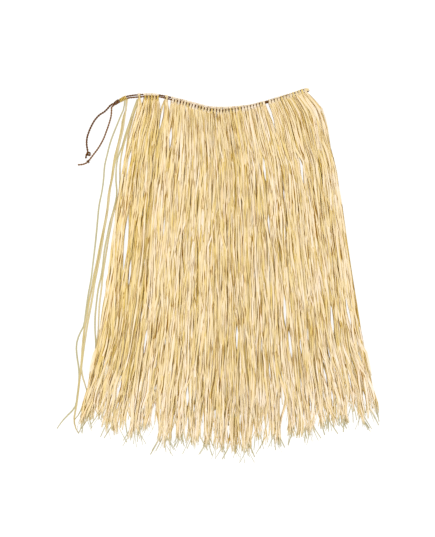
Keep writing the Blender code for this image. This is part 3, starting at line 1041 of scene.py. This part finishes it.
@dataclass
class CordPiece(OnePiece):
    """A length of cord that is one piece: the waist cord, a tail or a tight knot."""

    spots: tuple | np.ndarray
    shift: float
    weave: TwistedCord = field(default_factory=TwistedCord)

    def fill(self, heap: TubeHeap) -> None:
        """Adds the cord's plies to a heap."""
        self.weave.add_to(heap, Route(self.spots), self.shift)


@dataclass
class TieTail(CordPiece):
    """A free end of the cord, which ends in a knot."""

    def tie(self, finish: Material, knot: Piece) -> Piece:
        """Args:
            finish: The cord's material.
            knot: The knot at its end; not used.

        Returns:
            The tail.
        """
        piece = self.build(finish)
        route = Route(self.spots)
        return piece


@dataclass
class JoinKnot(OnePiece):
    """Where the waist cord's ends wind round each other and become the tie tails."""

    start: Spot = KNOT_START
    end: Spot = KNOT_END
    half_width: float = 1.9 * MM
    swell: float = 0.5 * MM
    winds: float = 1.5
    steps: int = 30
    shift: float = 3.1
    weave: TwistedCord = field(default_factory=TwistedCord)

    def fill(self, heap: TubeHeap) -> None:
        """Adds the two wound cords.

        Args:
            heap: Where they go.
        """
        start, end = np.array(self.start) * MM, np.array(self.end) * MM
        across = quarter_turn(unit(end - start))
        share = np.linspace(0.0, 1.0, self.steps + 1)[:, None]
        angle = 2 * np.pi * self.winds * share
        reach = self.half_width + self.swell * np.sin(np.pi * share)
        for sign in (-1, 1):
            turn = across * np.cos(angle) + UP * np.sin(angle)
            line = start + (end - start) * share + sign * reach * turn
            self.weave.add_to(heap, Route(line / MM), self.shift + sign)


@dataclass(frozen=True)
class LeafBand:
    """A short band of leaf, thickest along its middle, for a hitch or a wrap."""

    width: float
    thickness: float
    tone: float
    runs: tuple = (0.2, 0.2)
    shift: float = 0.0

    def add_to(self, heap: TubeHeap, line: np.ndarray, facing: np.ndarray) -> None:
        """Adds the band along a line.

        Args:
            heap: Where it goes.
            line: Its middle line.
            facing: The direction that its width faces.
        """
        corners = np.array([[1.0, 0.0], [0.0, 1.0], [-1.0, 0.0], [0.0, -1.0]])
        size = np.array([self.width, self.thickness]) / 2
        section = np.broadcast_to(corners * size, (len(line), *corners.shape))
        rings = tube_rings(line, np.broadcast_to(facing, line.shape), section)
        sides = corners[:, 0]
        marks = (self.tone, np.linspace(*self.runs, len(line))[:, None], sides)
        across = sides * self.width / 2 + self.shift
        heap.add(rings, marks, (across, lengths_along(line)[:, None]))


@dataclass
class RaffiaPiece(OnePiece):
    """A piece of raffia leaf, whose slot tells the back layer from the rest."""

    slot: Slot = field(default=Slot.RAFFIA, kw_only=True)


@dataclass
class RaffiaWrap(RaffiaPiece):
    """A few turns of raffia leaf wound round the cord."""

    winding: Winding
    tone: float
    width: float = 2.4 * MM
    thickness: float = 0.5 * MM

    def fill(self, heap: TubeHeap) -> None:
        """Adds the wound band to a heap."""
        band = LeafBand(self.width, self.thickness, self.tone)
        band.add_to(heap, self.winding.line(), np.array(self.winding.axis))


# --- Hitches and strands ------------------------------------------------------------
class Hitch(NamedTuple):
    """One hitch: its number, its place along the cord, its legs' width and its tone."""

    number: int
    middle: float
    leg_width: float
    tone: float


@dataclass
class HitchRow(RaffiaPiece):
    """A run of raffia hitches: two legs over the cord and a bar across their front."""

    run: Run
    route: Route
    seed: int
    tones: tuple = (0.4, 1.0)
    tone_jitter: float = 0.1
    place_jitter: float = 0.35
    leg_width: float = 1.7 * MM
    last_leg_width: float = 2.15 * MM
    widening: tuple = (0.40, 0.60)
    width_shares: tuple = (0.85, 1.12)
    leg_gap: float = 0.1 * MM
    leg_fan: float = 0.25 * MM
    leaf_thickness: float = 0.7 * MM
    leaf_runs: tuple = (0.1, 0.3)
    pattern_shift: float = 0.05
    wrap_radius: float = 2.8 * MM
    wrap_ends: tuple = (35.0, 325.0)
    wrap_spots: int = 11
    foot: tuple = (8.5 * MM, 0.4 * MM)
    waist: tuple = (4.7 * MM, 1.3 * MM)
    bar_depth: float = 4.0 * MM
    bar_width: float = 1.8 * MM
    bar_reach: float = 1.25
    bar_rise: float = 1.9 * MM
    bar_droop: float = 0.9 * MM
    bar_spots: int = 5

    def leg_line(self) -> np.ndarray:
        """A leg's middle line, as depths below the cord and rises above it."""
        turn = np.radians(np.linspace(*self.wrap_ends, self.wrap_spots))
        arc = self.wrap_radius * np.stack([np.cos(turn), np.sin(turn)], axis=-1)
        front = np.array([self.foot, self.waist])
        return np.vstack([front, arc, front[::-1] * [1, -1]])

    def band(self, hitch: Hitch, width: float, tone: float) -> LeafBand:
        """A leg's or a bar's band of leaf, whose pattern differs by the hitch's number."""
        shift = self.pattern_shift * hitch.number
        return LeafBand(width, self.leaf_thickness, tone, self.leaf_runs, shift)

    def add_legs(self, heap: TubeHeap, hitch: Hitch, chance: Chance) -> None:
        """Adds a hitch's two legs.

        Args:
            heap: Where they go.
            hitch: The hitch.
            chance: The run's random numbers.
        """
        line = self.leg_line()
        for leg in (-1, 1):
            width = hitch.leg_width * chance.uniform(*self.width_shares)
            distance = hitch.middle + leg * (hitch.leg_width + self.leg_gap) / 2
            centre = self.route.at(distance)
            down = self.route.down(distance, self.run.side)
            along = quarter_turn(down)
            fan = leg * np.linspace(0.0, self.leg_fan, len(line))[:, None] * along
            points = centre + line[:, :1] * down + line[:, 1:] * UP + fan
            tone = hitch.tone + chance.uniform(-self.tone_jitter, self.tone_jitter)
            self.band(hitch, width, tone).add_to(heap, points, along)

    def add_bar(self, heap: TubeHeap, hitch: Hitch) -> None:
        """Adds the bar across a hitch's front.

        Args:
            heap: Where it goes.
            hitch: The hitch.
        """
        centre = self.route.at(hitch.middle)
        down = self.route.down(hitch.middle, self.run.side)
        reach = quarter_turn(down) * (hitch.leg_width * self.bar_reach)
        steps = np.linspace(-1.0, 1.0, self.bar_spots)[:, None]
        rise = self.bar_rise - self.bar_droop * steps**2
        points = centre + down * self.bar_depth + reach * steps + UP * rise
        self.band(hitch, self.bar_width, hitch.tone).add_to(heap, points, down)

    def fill(self, heap: TubeHeap) -> None:
        """Adds the row's hitches.

        Args:
            heap: Where they go.
        """
        chance = np.random.default_rng(self.seed)
        for number in self.run.numbers:
            jitter = chance.uniform(-self.place_jitter, self.place_jitter) * MM
            tone = chance.uniform(*self.tones)
            share = smooth_step(number / self.run.hitches, *self.widening)
            usual = self.leg_width + (self.last_leg_width - self.leg_width) * share
            hitch = Hitch(number, self.run.middle(number) + jitter, usual, tone)
            self.add_legs(heap, hitch, chance)
            self.add_bar(heap, hitch)


@dataclass(frozen=True)
class Leaf:
    """A creased strip of raffia leaf, which narrows where it turns over."""

    width: float
    thickness: float
    narrowing: float = 0.70
    girths: tuple = GIRTHS
    dried: float = 0.0
    early: float = 0.0
    driest: float = 0.994
    turn_lengths: tuple = (0.16, 0.42)
    sways: tuple = (1.0, 3.0)
    sway_depth: float = 0.7
    steepest: float = math.radians(8.0)
    roll_from: tuple = (0.0, 0.1)
    roll_until: tuple = (0.93, 1.0)
    fold_shares: tuple = (0.05, 0.20)
    creases: tuple = (-0.45, 0.45)
    edge_shades: tuple = (0.80, 1.25)
    pattern_starts: tuple = (0.0, 40.0)

    def add_to(self, heap: TubeHeap, line: np.ndarray, tone: float, chance: Chance) -> None:
        """Adds one strip along a line.

        Args:
            heap: Where it goes.
            line: Its middle line.
            tone: Its place on the ramp of straw tones.
            chance: The random numbers.
        """
        lengths = lengths_along(line)
        shares = lengths / lengths[-1]
        places = [girth.share for girth in self.girths]
        profile = np.interp(shares, places, [girth.width for girth in self.girths])
        turns = lengths[-1] / chance.uniform(*self.turn_lengths)
        turn = 2 * np.pi * (turns * shares + chance.uniform())
        sway = chance.uniform(*self.sways) * shares + chance.uniform()
        turn += self.sway_depth * np.sin(2 * np.pi * sway)
        narrowed = 1 - self.narrowing * (1 - np.abs(np.cos(turn)))
        half = self.width * profile * narrowed / 2
        roll = self.steepest * np.sin(turn)
        held = smooth_step(shares, *self.roll_from)
        roll *= held * (1 - smooth_step(shares, *self.roll_until))
        fold = np.maximum(half * chance.uniform(*self.fold_shares), self.thickness)
        crease = chance.uniform(*self.creases)
        level = np.zeros(len(line))
        across = np.stack([half, half * crease, -half], axis=-1)
        upward = np.stack([level, fold, level], axis=-1)
        cos, sin = np.cos(roll)[:, None], np.sin(roll)[:, None]
        section = np.stack([across * cos - upward * sin, across * sin + upward * cos], axis=-1)
        rings = tube_rings(line, np.cross(UP, unit(np.gradient(line, axis=0))), section)
        sides = np.array([1.0, crease, -1.0])
        dry = np.maximum(np.minimum(shares * (1 + self.early), self.driest), self.dried)
        marks = (tone, dry[:, None], sides * chance.uniform(*self.edge_shades))
        start = chance.uniform(*self.pattern_starts)
        heap.add(rings, marks, (sides * half[:, None] + start, lengths[:, None] + start))


@dataclass(frozen=True)
class Slits:
    """How strands move aside from the partings, within a short reach of each."""

    reach: float = 9.0 * MM
    softness: float = 2.0 * MM
    strand_share: float = 0.9
    wedge_full: float = 0.7
    lens_power: float = 0.5
    least: float = 0.05
    least_here: float = 0.01

    def opened(self, slit: Parting, share: np.ndarray) -> np.ndarray:
        """How far open a parting is, from 0 to 1.

        Args:
            slit: The parting.
            share: Shares of its way down.

        Returns:
            One value for each share.
        """
        if slit.opening is Opening.WEDGE:
            return smooth_step(share, 0.0, self.wedge_full)
        return np.sin(np.pi * np.clip(share, 0.0, 1.0)) ** self.lens_power

    def part(self, x: np.ndarray, y: np.ndarray, width: float) -> np.ndarray:
        """Moves a strand aside from the partings.

        Args:
            x: Its places across the skirt.
            y: Its places up the skirt.
            width: Its width.

        Returns:
            The places across, moved.
        """
        for slit in PARTINGS:
            top, foot = slit.y * MM, slit.foot_y * MM
            share = (top - y) / (top - foot)
            centre = (slit.x + (slit.foot_x - slit.x) * share) * MM
            opened = self.opened(slit, share)
            if opened.max() < self.least:
                continue
            offset = x - centre
            sense = 1.0 if (offset * opened).sum() > 0 else -1.0
            clear = (slit.width * MM + width * self.strand_share) / 2
            nearest = -self.reach + (self.reach + clear) * opened
            away = sense * offset
            away = (away + nearest + np.hypot(away - nearest, self.softness * opened)) / 2
            x = np.where(opened > self.least_here, centre + sense * away, x)
        return x


@dataclass(frozen=True)
class Strand:
    """One strand of a curtain: its hitch, its place in it, its width and its kind.

    The place is from -0.5 to 0.5, and a stray's tip hangs below the others'.
    """

    hitch: int
    place: float
    width: float
    is_stray: bool


@dataclass
class StrandCurtain(RaffiaPiece):
    """A run of strands that hang from one row of hitches and lie down the skirt."""

    run: Run
    route: Route
    seed: int
    strands_per_hitch: int
    low: float
    high: float
    # Painted shade taken off the tone of every strand in the curtain.
    curtain_shade: float = 0.0
    width: float = 4.1 * MM
    width_spread: float = 0.42
    width_tone: float = 0.42
    widest: float = 6.4 * MM
    widest_stray: float = 4.6 * MM
    leaf_thickness: float = 0.25 * MM
    tone_low: float = 0.45
    tone_range: float = 0.41
    tone_shape: tuple = (2.2, 1.6)
    # Painted shade taken off the tone of strands that lie low among the others.
    sunk_shade: float = 0.18
    stray_early: float = 0.03
    # Roots, and the way down from them.
    stations: int = 24
    crowding: float = 0.42
    root_depth: float = 4.8 * MM
    root_width: float = 4.6 * MM
    root_fade: float = 45.0 * MM
    gap_fade: float = 22.0 * MM
    lift_fade: float = 0.25
    inset: float = 1.5 * MM
    straight_to: float = 240.0 * MM
    lock_at: float = -335.0 * MM
    lowest: float = -418.0 * MM
    bend_spacing: float = 78.0 * MM
    bend_shift: float = 18.0 * MM
    bend: float = 4.0 * MM
    lean: float = 14.0 * MM
    slits: Slits = Slits()
    # Tips and locks at the hem.
    shortest: float = 32.0 * MM
    short_shape: tuple = (1.0, 2.8)
    stray_share: float = 0.13
    cut_share: float = 0.38
    lock_height: float = 95.0 * MM
    lock_gather: float = 0.38
    lock_slope: float = 15.0 * MM
    lock_curve: float = 1.5
    gather_share: float = 0.8
    kick: float = 6.5 * MM
    stray_kick: float = 15.0 * MM
    most_kick: float = 1.5
    kick_from: float = 0.950
    kick_span: float = 0.050
    outward: float = 0.7
    # Heights above the floor.
    swing: float = 1.4 * MM
    swing_waves: tuple = (3.0, 7.0)
    swing_depths: tuple = (0.02, 0.12)
    sink_from: float = 0.88
    sink_share: float = 0.4
    held_depth: float = 0.030
    # Ranges that each strand draws from, in millimetres.
    root_lifts: tuple = (-14.0, 6.0)
    ragged: tuple = (-2.5, 6.0)
    cuts: tuple = (15.0, 90.0)
    stray_drops: tuple = (-2.0, 16.0)
    tip_insets: tuple = (-6.0, 2.0)
    chance: Chance = field(init=False)

    def __post_init__(self) -> None:
        """Starts the run's random numbers."""
        self.chance = np.random.default_rng(self.seed)

    def shares(self) -> np.ndarray:
        """How far down each of a strand's cross-sections is, closer together at both ends."""
        even = np.linspace(0.0, 1.0, self.stations)
        return even - self.crowding * np.sin(2 * np.pi * even) / (2 * np.pi)

    def root(self, strand: Strand) -> np.ndarray:
        """Where a strand leaves the nearest hitch.

        Args:
            strand: The strand.

        Returns:
            The point.
        """
        holder = self.run.nearest(strand.hitch)
        held_at = self.run.middle(holder) + self.root_width * strand.place
        down = self.route.down(held_at, self.run.side)
        return self.route.at(held_at) + down * self.root_depth

    def wander(self, depth: np.ndarray) -> np.ndarray:
        """A strand's straight runs between slight bends.

        Args:
            depth: How far below the root each cross-section is.

        Returns:
            How far each cross-section strays.
        """
        span = depth[-1]
        count = max(4, round(span / self.bend_spacing))
        shifts = self.chance.normal(0.0, self.bend_shift, count + 1)
        places = np.sort(np.linspace(0.0, span, count + 1) + shifts)
        places[0], places[-1] = 0.0, span
        strays = self.chance.normal(0.0, self.bend, count + 1)
        strays += self.lean * self.chance.normal() * places / span
        strays[0] = 0.0
        return np.interp(depth, places, strays)

    def hang(self, across: float, root: np.ndarray, y: np.ndarray, lift: float) -> np.ndarray:
        """Where a strand would hang if nothing moved it.

        Args:
            across: Its place from the body's left side to its right.
            root: Its root.
            y: Its places up the skirt.
            lift: How much higher up the body its root counts as.

        Returns:
            Its places across the skirt.
        """
        depth = root[1] - y
        level_y = y + lift * (1 - smooth_step(depth, 0.0, self.lift_fade))
        left = column_of(BODY_ROWS, level_y, "y", "left") + self.inset
        right = column_of(BODY_ROWS, level_y, "y", "right") - self.inset
        spread = left + (right - left) * across
        foot = np.interp(-self.straight_to, -y, spread)
        share = np.clip(depth / (root[1] - self.straight_to), 0.0, 1.0)
        straight = root[0] + (foot - root[0]) * share
        outer = abs(2 * across - 1) ** 3
        return np.where(share < 1.0, straight + (spread - straight) * outer, spread)

    def shortened(self, aside: float, is_stray: bool) -> float:
        """How far a strand's tip stops above its lock's lowest, or hangs below it.

        Args:
            aside: How far to one side of the lock it is, from -1 to 1.
            is_stray: Whether its tip hangs below the others'.

        Returns:
            The distance up.
        """
        short = self.shortest * self.chance.beta(*self.short_shape)
        short += self.lock_slope * abs(aside) ** self.lock_curve
        if self.chance.uniform() < self.cut_share:
            short += self.chance.uniform(*self.cuts) * MM
        return -self.chance.uniform(*self.stray_drops) * MM if is_stray else short

    def heights(self, shares: np.ndarray, depth: np.ndarray, top: float) -> np.ndarray:
        """A strand's heights above the floor.

        Args:
            shares: How far down each cross-section is, from 0 to 1.
            depth: The same in metres.
            top: The height of its root.

        Returns:
            One height for each cross-section.
        """
        level = self.low + (self.high - self.low) * self.chance.uniform()
        waves = self.chance.uniform(*self.swing_waves)
        swing = self.swing * np.sin(2 * np.pi * (waves * shares + self.chance.uniform()))
        height = level + swing * smooth_step(depth, *self.swing_depths)
        sink = smooth_step(shares, self.sink_from, 1.0) * self.sink_share
        height = height + (self.low - height) * sink
        held = smooth_step(depth, 0.0, self.held_depth)
        return top * (1 - held) + height * held

    def line(self, strand: Strand) -> np.ndarray:
        """A strand's middle line, from its root to its tip.

        Args:
            strand: The strand.

        Returns:
            One row for each cross-section.
        """
        along = self.run.middle(strand.hitch) + self.run.pitch * strand.place
        layer = self.run.layer
        across = (along / MM - layer.left) / (layer.right - layer.left)
        root = self.root(strand)
        # The way down past the partings, at more places than the strand itself has.
        fall = root[1] + (self.lowest - root[1]) * np.linspace(0.0, 1.0, 4 * self.stations)
        depth = root[1] - fall
        lift = BODY_ROWS[-1].y * MM - root[1] + self.chance.uniform(*self.root_lifts) * MM
        way = self.hang(across, root, fall, lift) + self.wander(depth)
        left = self.hang(0.0, root, fall, lift)
        right = self.hang(1.0, root, fall, lift)
        ragged = self.chance.uniform(*self.ragged) * MM
        way = np.clip(way, left + ragged, right - ragged)
        fade = self.root_fade if strand.hitch in self.run.numbers else self.gap_fade
        way = way + (root[0] - way[0]) * (1 - smooth_step(depth, 0.0, fade))
        way = self.slits.part(way, fall, strand.width)
        # The lock that it ends in, and how low its tip is there.
        edges = np.array([lock.edge for lock in LOCKS] + [LAST_EDGE]) * MM
        foot = np.interp(-self.lock_at, -fall, way)
        lock = int(np.clip(np.searchsorted(edges, foot) - 1, 0, len(LOCKS) - 1))
        middle = (edges[lock] + edges[lock + 1]) / 2
        half = (edges[lock + 1] - edges[lock]) / 2
        aside = np.clip((foot - middle) / half, -1.0, 1.0)
        tip = LOCKS[lock].tip * MM + self.shortened(aside, strand.is_stray)
        # The strand itself, which its lock gathers and which kicks out at its tip.
        shares = self.shares()
        y = root[1] + (tip - root[1]) * shares
        x = np.interp(-y, -fall, way)
        height = self.lock_height * LOCK_HEIGHTS[lock % len(LOCK_HEIGHTS)]
        gathered = smooth_step(-y, -(tip + height), -tip)
        target = middle + aside * half * (1 - self.lock_gather)
        x = x + (target - x) * gathered * self.gather_share
        outward = self.outward * (2 * across - 1)
        kick = np.clip(self.chance.normal() + outward, -self.most_kick, self.most_kick)
        kick = kick * (self.stray_kick if strand.is_stray else self.kick)
        x = x + kick * np.clip((shares - self.kick_from) / self.kick_span, 0.0, 1.0)
        inset = self.chance.uniform(*self.tip_insets) * MM
        left, right = np.interp(-y, -fall, left), np.interp(-y, -fall, right)
        x = np.clip(x, left + inset, right - inset)
        return np.stack([x, y, self.heights(shares, root[1] - y, root[2])], axis=-1)

    def tone(self, strand: Strand, line: np.ndarray) -> float:
        """A strand's tone, with painted shade where it lies low or its curtain is shaded, and deeper
        where it is thin.

        Args:
            strand: The strand.
            line: Its middle line.

        Returns:
            Its place on the ramp of straw tones.
        """
        height = (line[:, 2].mean() - self.low) / (self.high - self.low)
        sunk = 1 - min(max(height, 0.0), 1.0)
        tone = self.tone_low + self.tone_range * self.chance.beta(*self.tone_shape)
        # Painted shade: darker where the strand lies low, and over a shaded curtain.
        tone = tone - self.sunk_shade * sunk - self.curtain_shade
        tone += self.width_tone * min(math.log(strand.width / self.width), 0.0)
        return max(tone, 0.0)

    def leaf(self, strand: Strand) -> Leaf:
        """A strand's strip of leaf, which is thinner where it strays.

        Args:
            strand: The strand.

        Returns:
            The strip.
        """
        if not strand.is_stray:
            return Leaf(strand.width, self.leaf_thickness)
        width, early = min(strand.width, self.widest_stray), self.stray_early
        return Leaf(width, self.leaf_thickness, girths=STRAY_GIRTHS, early=early, driest=1.0)

    def fill(self, heap: TubeHeap) -> None:
        """Adds the curtain's strands.

        Args:
            heap: Where they go.
        """
        for number in range(self.run.hitches * self.strands_per_hitch):
            hitch, order = divmod(number, self.strands_per_hitch)
            place = (order + 0.5) / self.strands_per_hitch - 0.5
            spread = self.chance.lognormal(0.0, self.width_spread)
            width = min(self.width * spread, self.widest)
            strand = Strand(hitch, place, width, self.chance.uniform() < self.stray_share)
            line = self.line(strand)
            self.leaf(strand).add_to(heap, line, self.tone(strand, line), self.chance)


@dataclass
class LooseWisps(RaffiaPiece):
    """The few thin strands tied in beside the knot, which lie outside the body."""

    seed: int
    stations: int = 60
    thickness: float = 0.4 * MM
    narrowing: float = 0.12
    edge_shades: tuple = (1.35, 1.60)

    def fill(self, heap: TubeHeap) -> None:
        """Adds the wisps, which are dry all along.

        Args:
            heap: Where they go.
        """
        chance = np.random.default_rng(self.seed)
        for wisp in WISPS:
            route = Route(wisp.spots)
            line = route.at(np.linspace(0.0, route.length, self.stations))
            leaf = Leaf(
                wisp.width * MM,
                self.thickness,
                narrowing=self.narrowing,
                girths=WISP_GIRTHS,
                dried=wisp.dryness,
                driest=1.0,
                edge_shades=self.edge_shades,
            )
            leaf.add_to(heap, line, wisp.tone, chance)


# --- Studio and assembly ------------------------------------------------------------
@dataclass
class Studio:
    """The floor, the lights and the camera that looks straight down."""

    centre_y: float = 13.2 * MM
    frame_height: float = 1.1814
    subject_height: float = 8.0 * MM
    lens: float = 85.0
    sensor: float = 36.0
    nearest: float = 0.05
    farthest: float = 50.0
    floor_size: float = 8.0
    lamps: tuple = (
        Lamp("key_lamp", (-1.4, 0.4, 2.1), size=0.9, watts=24.0),
        Lamp("fill_lamp", (1.6, -0.6, 2.2), size=1.6, watts=14.0),
    )
    room_colour: tuple = (1.0, 0.935, 0.82, 1.0)
    room_strength: float = 0.89

    def camera(self) -> None:
        """Sets the camera above the skirt, at the distance that gives the frame."""
        distance = self.frame_height * self.lens / self.sensor
        data = bpy.data.cameras.new("overhead_camera")
        data.lens = self.lens
        data.sensor_width = self.sensor
        data.clip_start, data.clip_end = self.nearest, self.farthest
        camera = bpy.data.objects.new("overhead_camera", data)
        camera.location = (0.0, self.centre_y, self.subject_height + distance)
        bpy.context.scene.collection.objects.link(camera)
        bpy.context.scene.camera = camera

    def floor(self) -> None:
        """Lays the floor."""
        bpy.ops.object.select_all(action="DESELECT")
        bpy.ops.mesh.primitive_plane_add(size=self.floor_size, location=(0.0, 0.0, 0.0))
        floor = bpy.context.object
        floor.name = "floor"
        floor.data.materials.append(FLOOR.material())

    def light(self, lamp: Lamp) -> None:
        """Hangs a soft lamp that faces the skirt.

        Args:
            lamp: The lamp.
        """
        data = bpy.data.lights.new(lamp.name, "AREA")
        data.size = lamp.size
        data.energy = lamp.watts
        hung = bpy.data.objects.new(lamp.name, data)
        hung.location = lamp.place
        hung.rotation_mode = "QUATERNION"
        hung.rotation_quaternion = (-Vector(lamp.place)).to_track_quat("-Z", "Y")
        bpy.context.scene.collection.objects.link(hung)

    def build(self) -> None:
        """Sets up the whole studio."""
        self.camera()
        self.floor()
        for lamp in self.lamps:
            self.light(lamp)
        world = bpy.data.worlds.new("pale_room")
        world.use_nodes = True
        background = world.node_tree.nodes["Background"]
        background.inputs["Color"].default_value = self.room_colour
        background.inputs["Strength"].default_value = self.room_strength
        scene = bpy.context.scene
        scene.world = world
        scene.view_settings.view_transform = "Standard"
        scene.view_settings.look = "None"


def place_on_body(piece: Piece) -> None:
    """Gives a piece its body, and reports it.

    Args:
        piece: The piece.
    """
    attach(piece, BODY)
    log.info("%s: %d faces", piece.name, len(piece.data.polygons))


def build_cords(waist: tuple, finish: Material) -> None:
    """Builds the tie tails with their knots, the waist cord and the join knot.

    Args:
        waist: The spots along the waist cord.
        finish: The cord's material.
    """
    turns = Winding(TIGHT_KNOT, (-0.80, -0.60, 0.0), radius=2.8 * MM, turns=2.0, pitch=2.2 * MM)
    cinch = Winding(CINCH, (-0.84, -0.54, 0.0), radius=3.5 * MM, turns=2.0, pitch=2.6 * MM)
    turns, cinch = turns.line() / MM, cinch.line() / MM
    tight = TwistedCord(diameter=2.2 * MM, turn=TIGHT_TURN)
    cinched = TwistedCord(diameter=2.6 * MM, turn=TIGHT_TURN)
    faded = TwistedCord(diameter=THIN_TWIST, fading=0.45)
    worn = TwistedCord(diameter=THIN_TWIST, fading=0.14)
    loop = CordPiece("tail_knot_a_loop", "tail_knot_a", LOOP_A, shift=1.7).build(finish)
    knot = CordPiece("tail_knot_b_turns", "tail_knot_b", turns, shift=2.9, weave=tight)
    knot = knot.build(finish)
    tail_a = TieTail("tie_tail_a_twist", "tie_tail_a", TAIL_A, shift=0.9)
    tail_b = TieTail("tie_tail_b_twist", "tie_tail_b", TAIL_B, shift=2.2, weave=faded)
    rest = (
        CordPiece("waist_cord_twist", "waist_cord", waist, shift=0.0, weave=worn),
        JoinKnot("join_knot_cords", "join_knot"),
        CordPiece("join_knot_cinch", None, cinch, shift=4.4, weave=cinched),
    )
    pieces = [loop, knot, tail_a.tie(finish, loop), tail_b.tie(finish, knot)]
    for piece in pieces + [part.build(finish) for part in rest]:
        place_on_body(piece)


def build_raffia(waist: Route, finish: Material) -> None:
    """Builds the wraps, the hitches, the curtains of strands and the loose wisps.

    Args:
        waist: The waist cord's centre line.
        finish: The raffia's material.
    """
    at_knot = Winding(WRAP_START, (0.86, 0.50, 0.0), radius=4.3 * MM, turns=4.5, pitch=3.4 * MM)
    corner_axis = (0.92, -0.10, -0.38)
    at_fold = Winding(FOLD_CORNER, corner_axis, radius=2.7 * MM, turns=3.5, pitch=1.9 * MM)
    behind = {"slot": Slot.RAFFIA_BACK}
    narrow = {"tones": (0.05, 0.7), "last_leg_width": 1.7 * MM}
    wide = {"tones": (0.8, 1.1), "leg_width": 3.3 * MM, "last_leg_width": 3.3 * MM}
    front = {"strands_per_hitch": 10, "low": 6.3 * MM, "high": 8.9 * MM}
    # The left-hand front run and, more deeply, the back layer carry painted shade on all their strands.
    left = {**front, "strands_per_hitch": 9, "curtain_shade": 0.12}
    back = {"strands_per_hitch": 10, "low": 2.2 * MM, "high": 4.6 * MM, "curtain_shade": 0.24}
    parts = (
        RaffiaWrap("join_knot_raffia", None, at_knot, tone=0.15),
        RaffiaWrap("fold_raffia", None, at_fold, tone=0.60),
        HitchRow("hitches_front_left", None, FRONT_LEFT_RUN, waist, seed=21, **narrow),
        HitchRow("hitches_front", None, FRONT_RUN, waist, seed=22),
        HitchRow("hitches_back", None, BACK_RUN, waist, seed=23, **wide, **behind),
        StrandCurtain(
            "strands_front_left", "fringe_front_left", FRONT_LEFT_RUN, waist, seed=31, **left
        ),
        StrandCurtain("strands_front", "fringe_front", FRONT_RUN, waist, seed=32, **front),
        StrandCurtain(
            "strands_back", "fringe_back", BACK_RUN, waist, seed=33, **back, **behind
        ),
        LooseWisps("wisp_strands", "fringe_wisp", seed=51),
    )
    for part in parts:
        place_on_body(part.build(finish))


def main() -> None:
    """Builds the skirt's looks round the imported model."""
    logging.basicConfig(level=logging.INFO, format="%(name)s: %(message)s")
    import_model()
    Studio().build()
    waist = FRONT_LINE + FOLD_TURN + BACK_LINE
    raffia = RAFFIA.material()
    build_cords(waist, CORD_FIBRE.material())
    build_raffia(Route(waist), raffia)


if __name__ == "__main__":
    main()
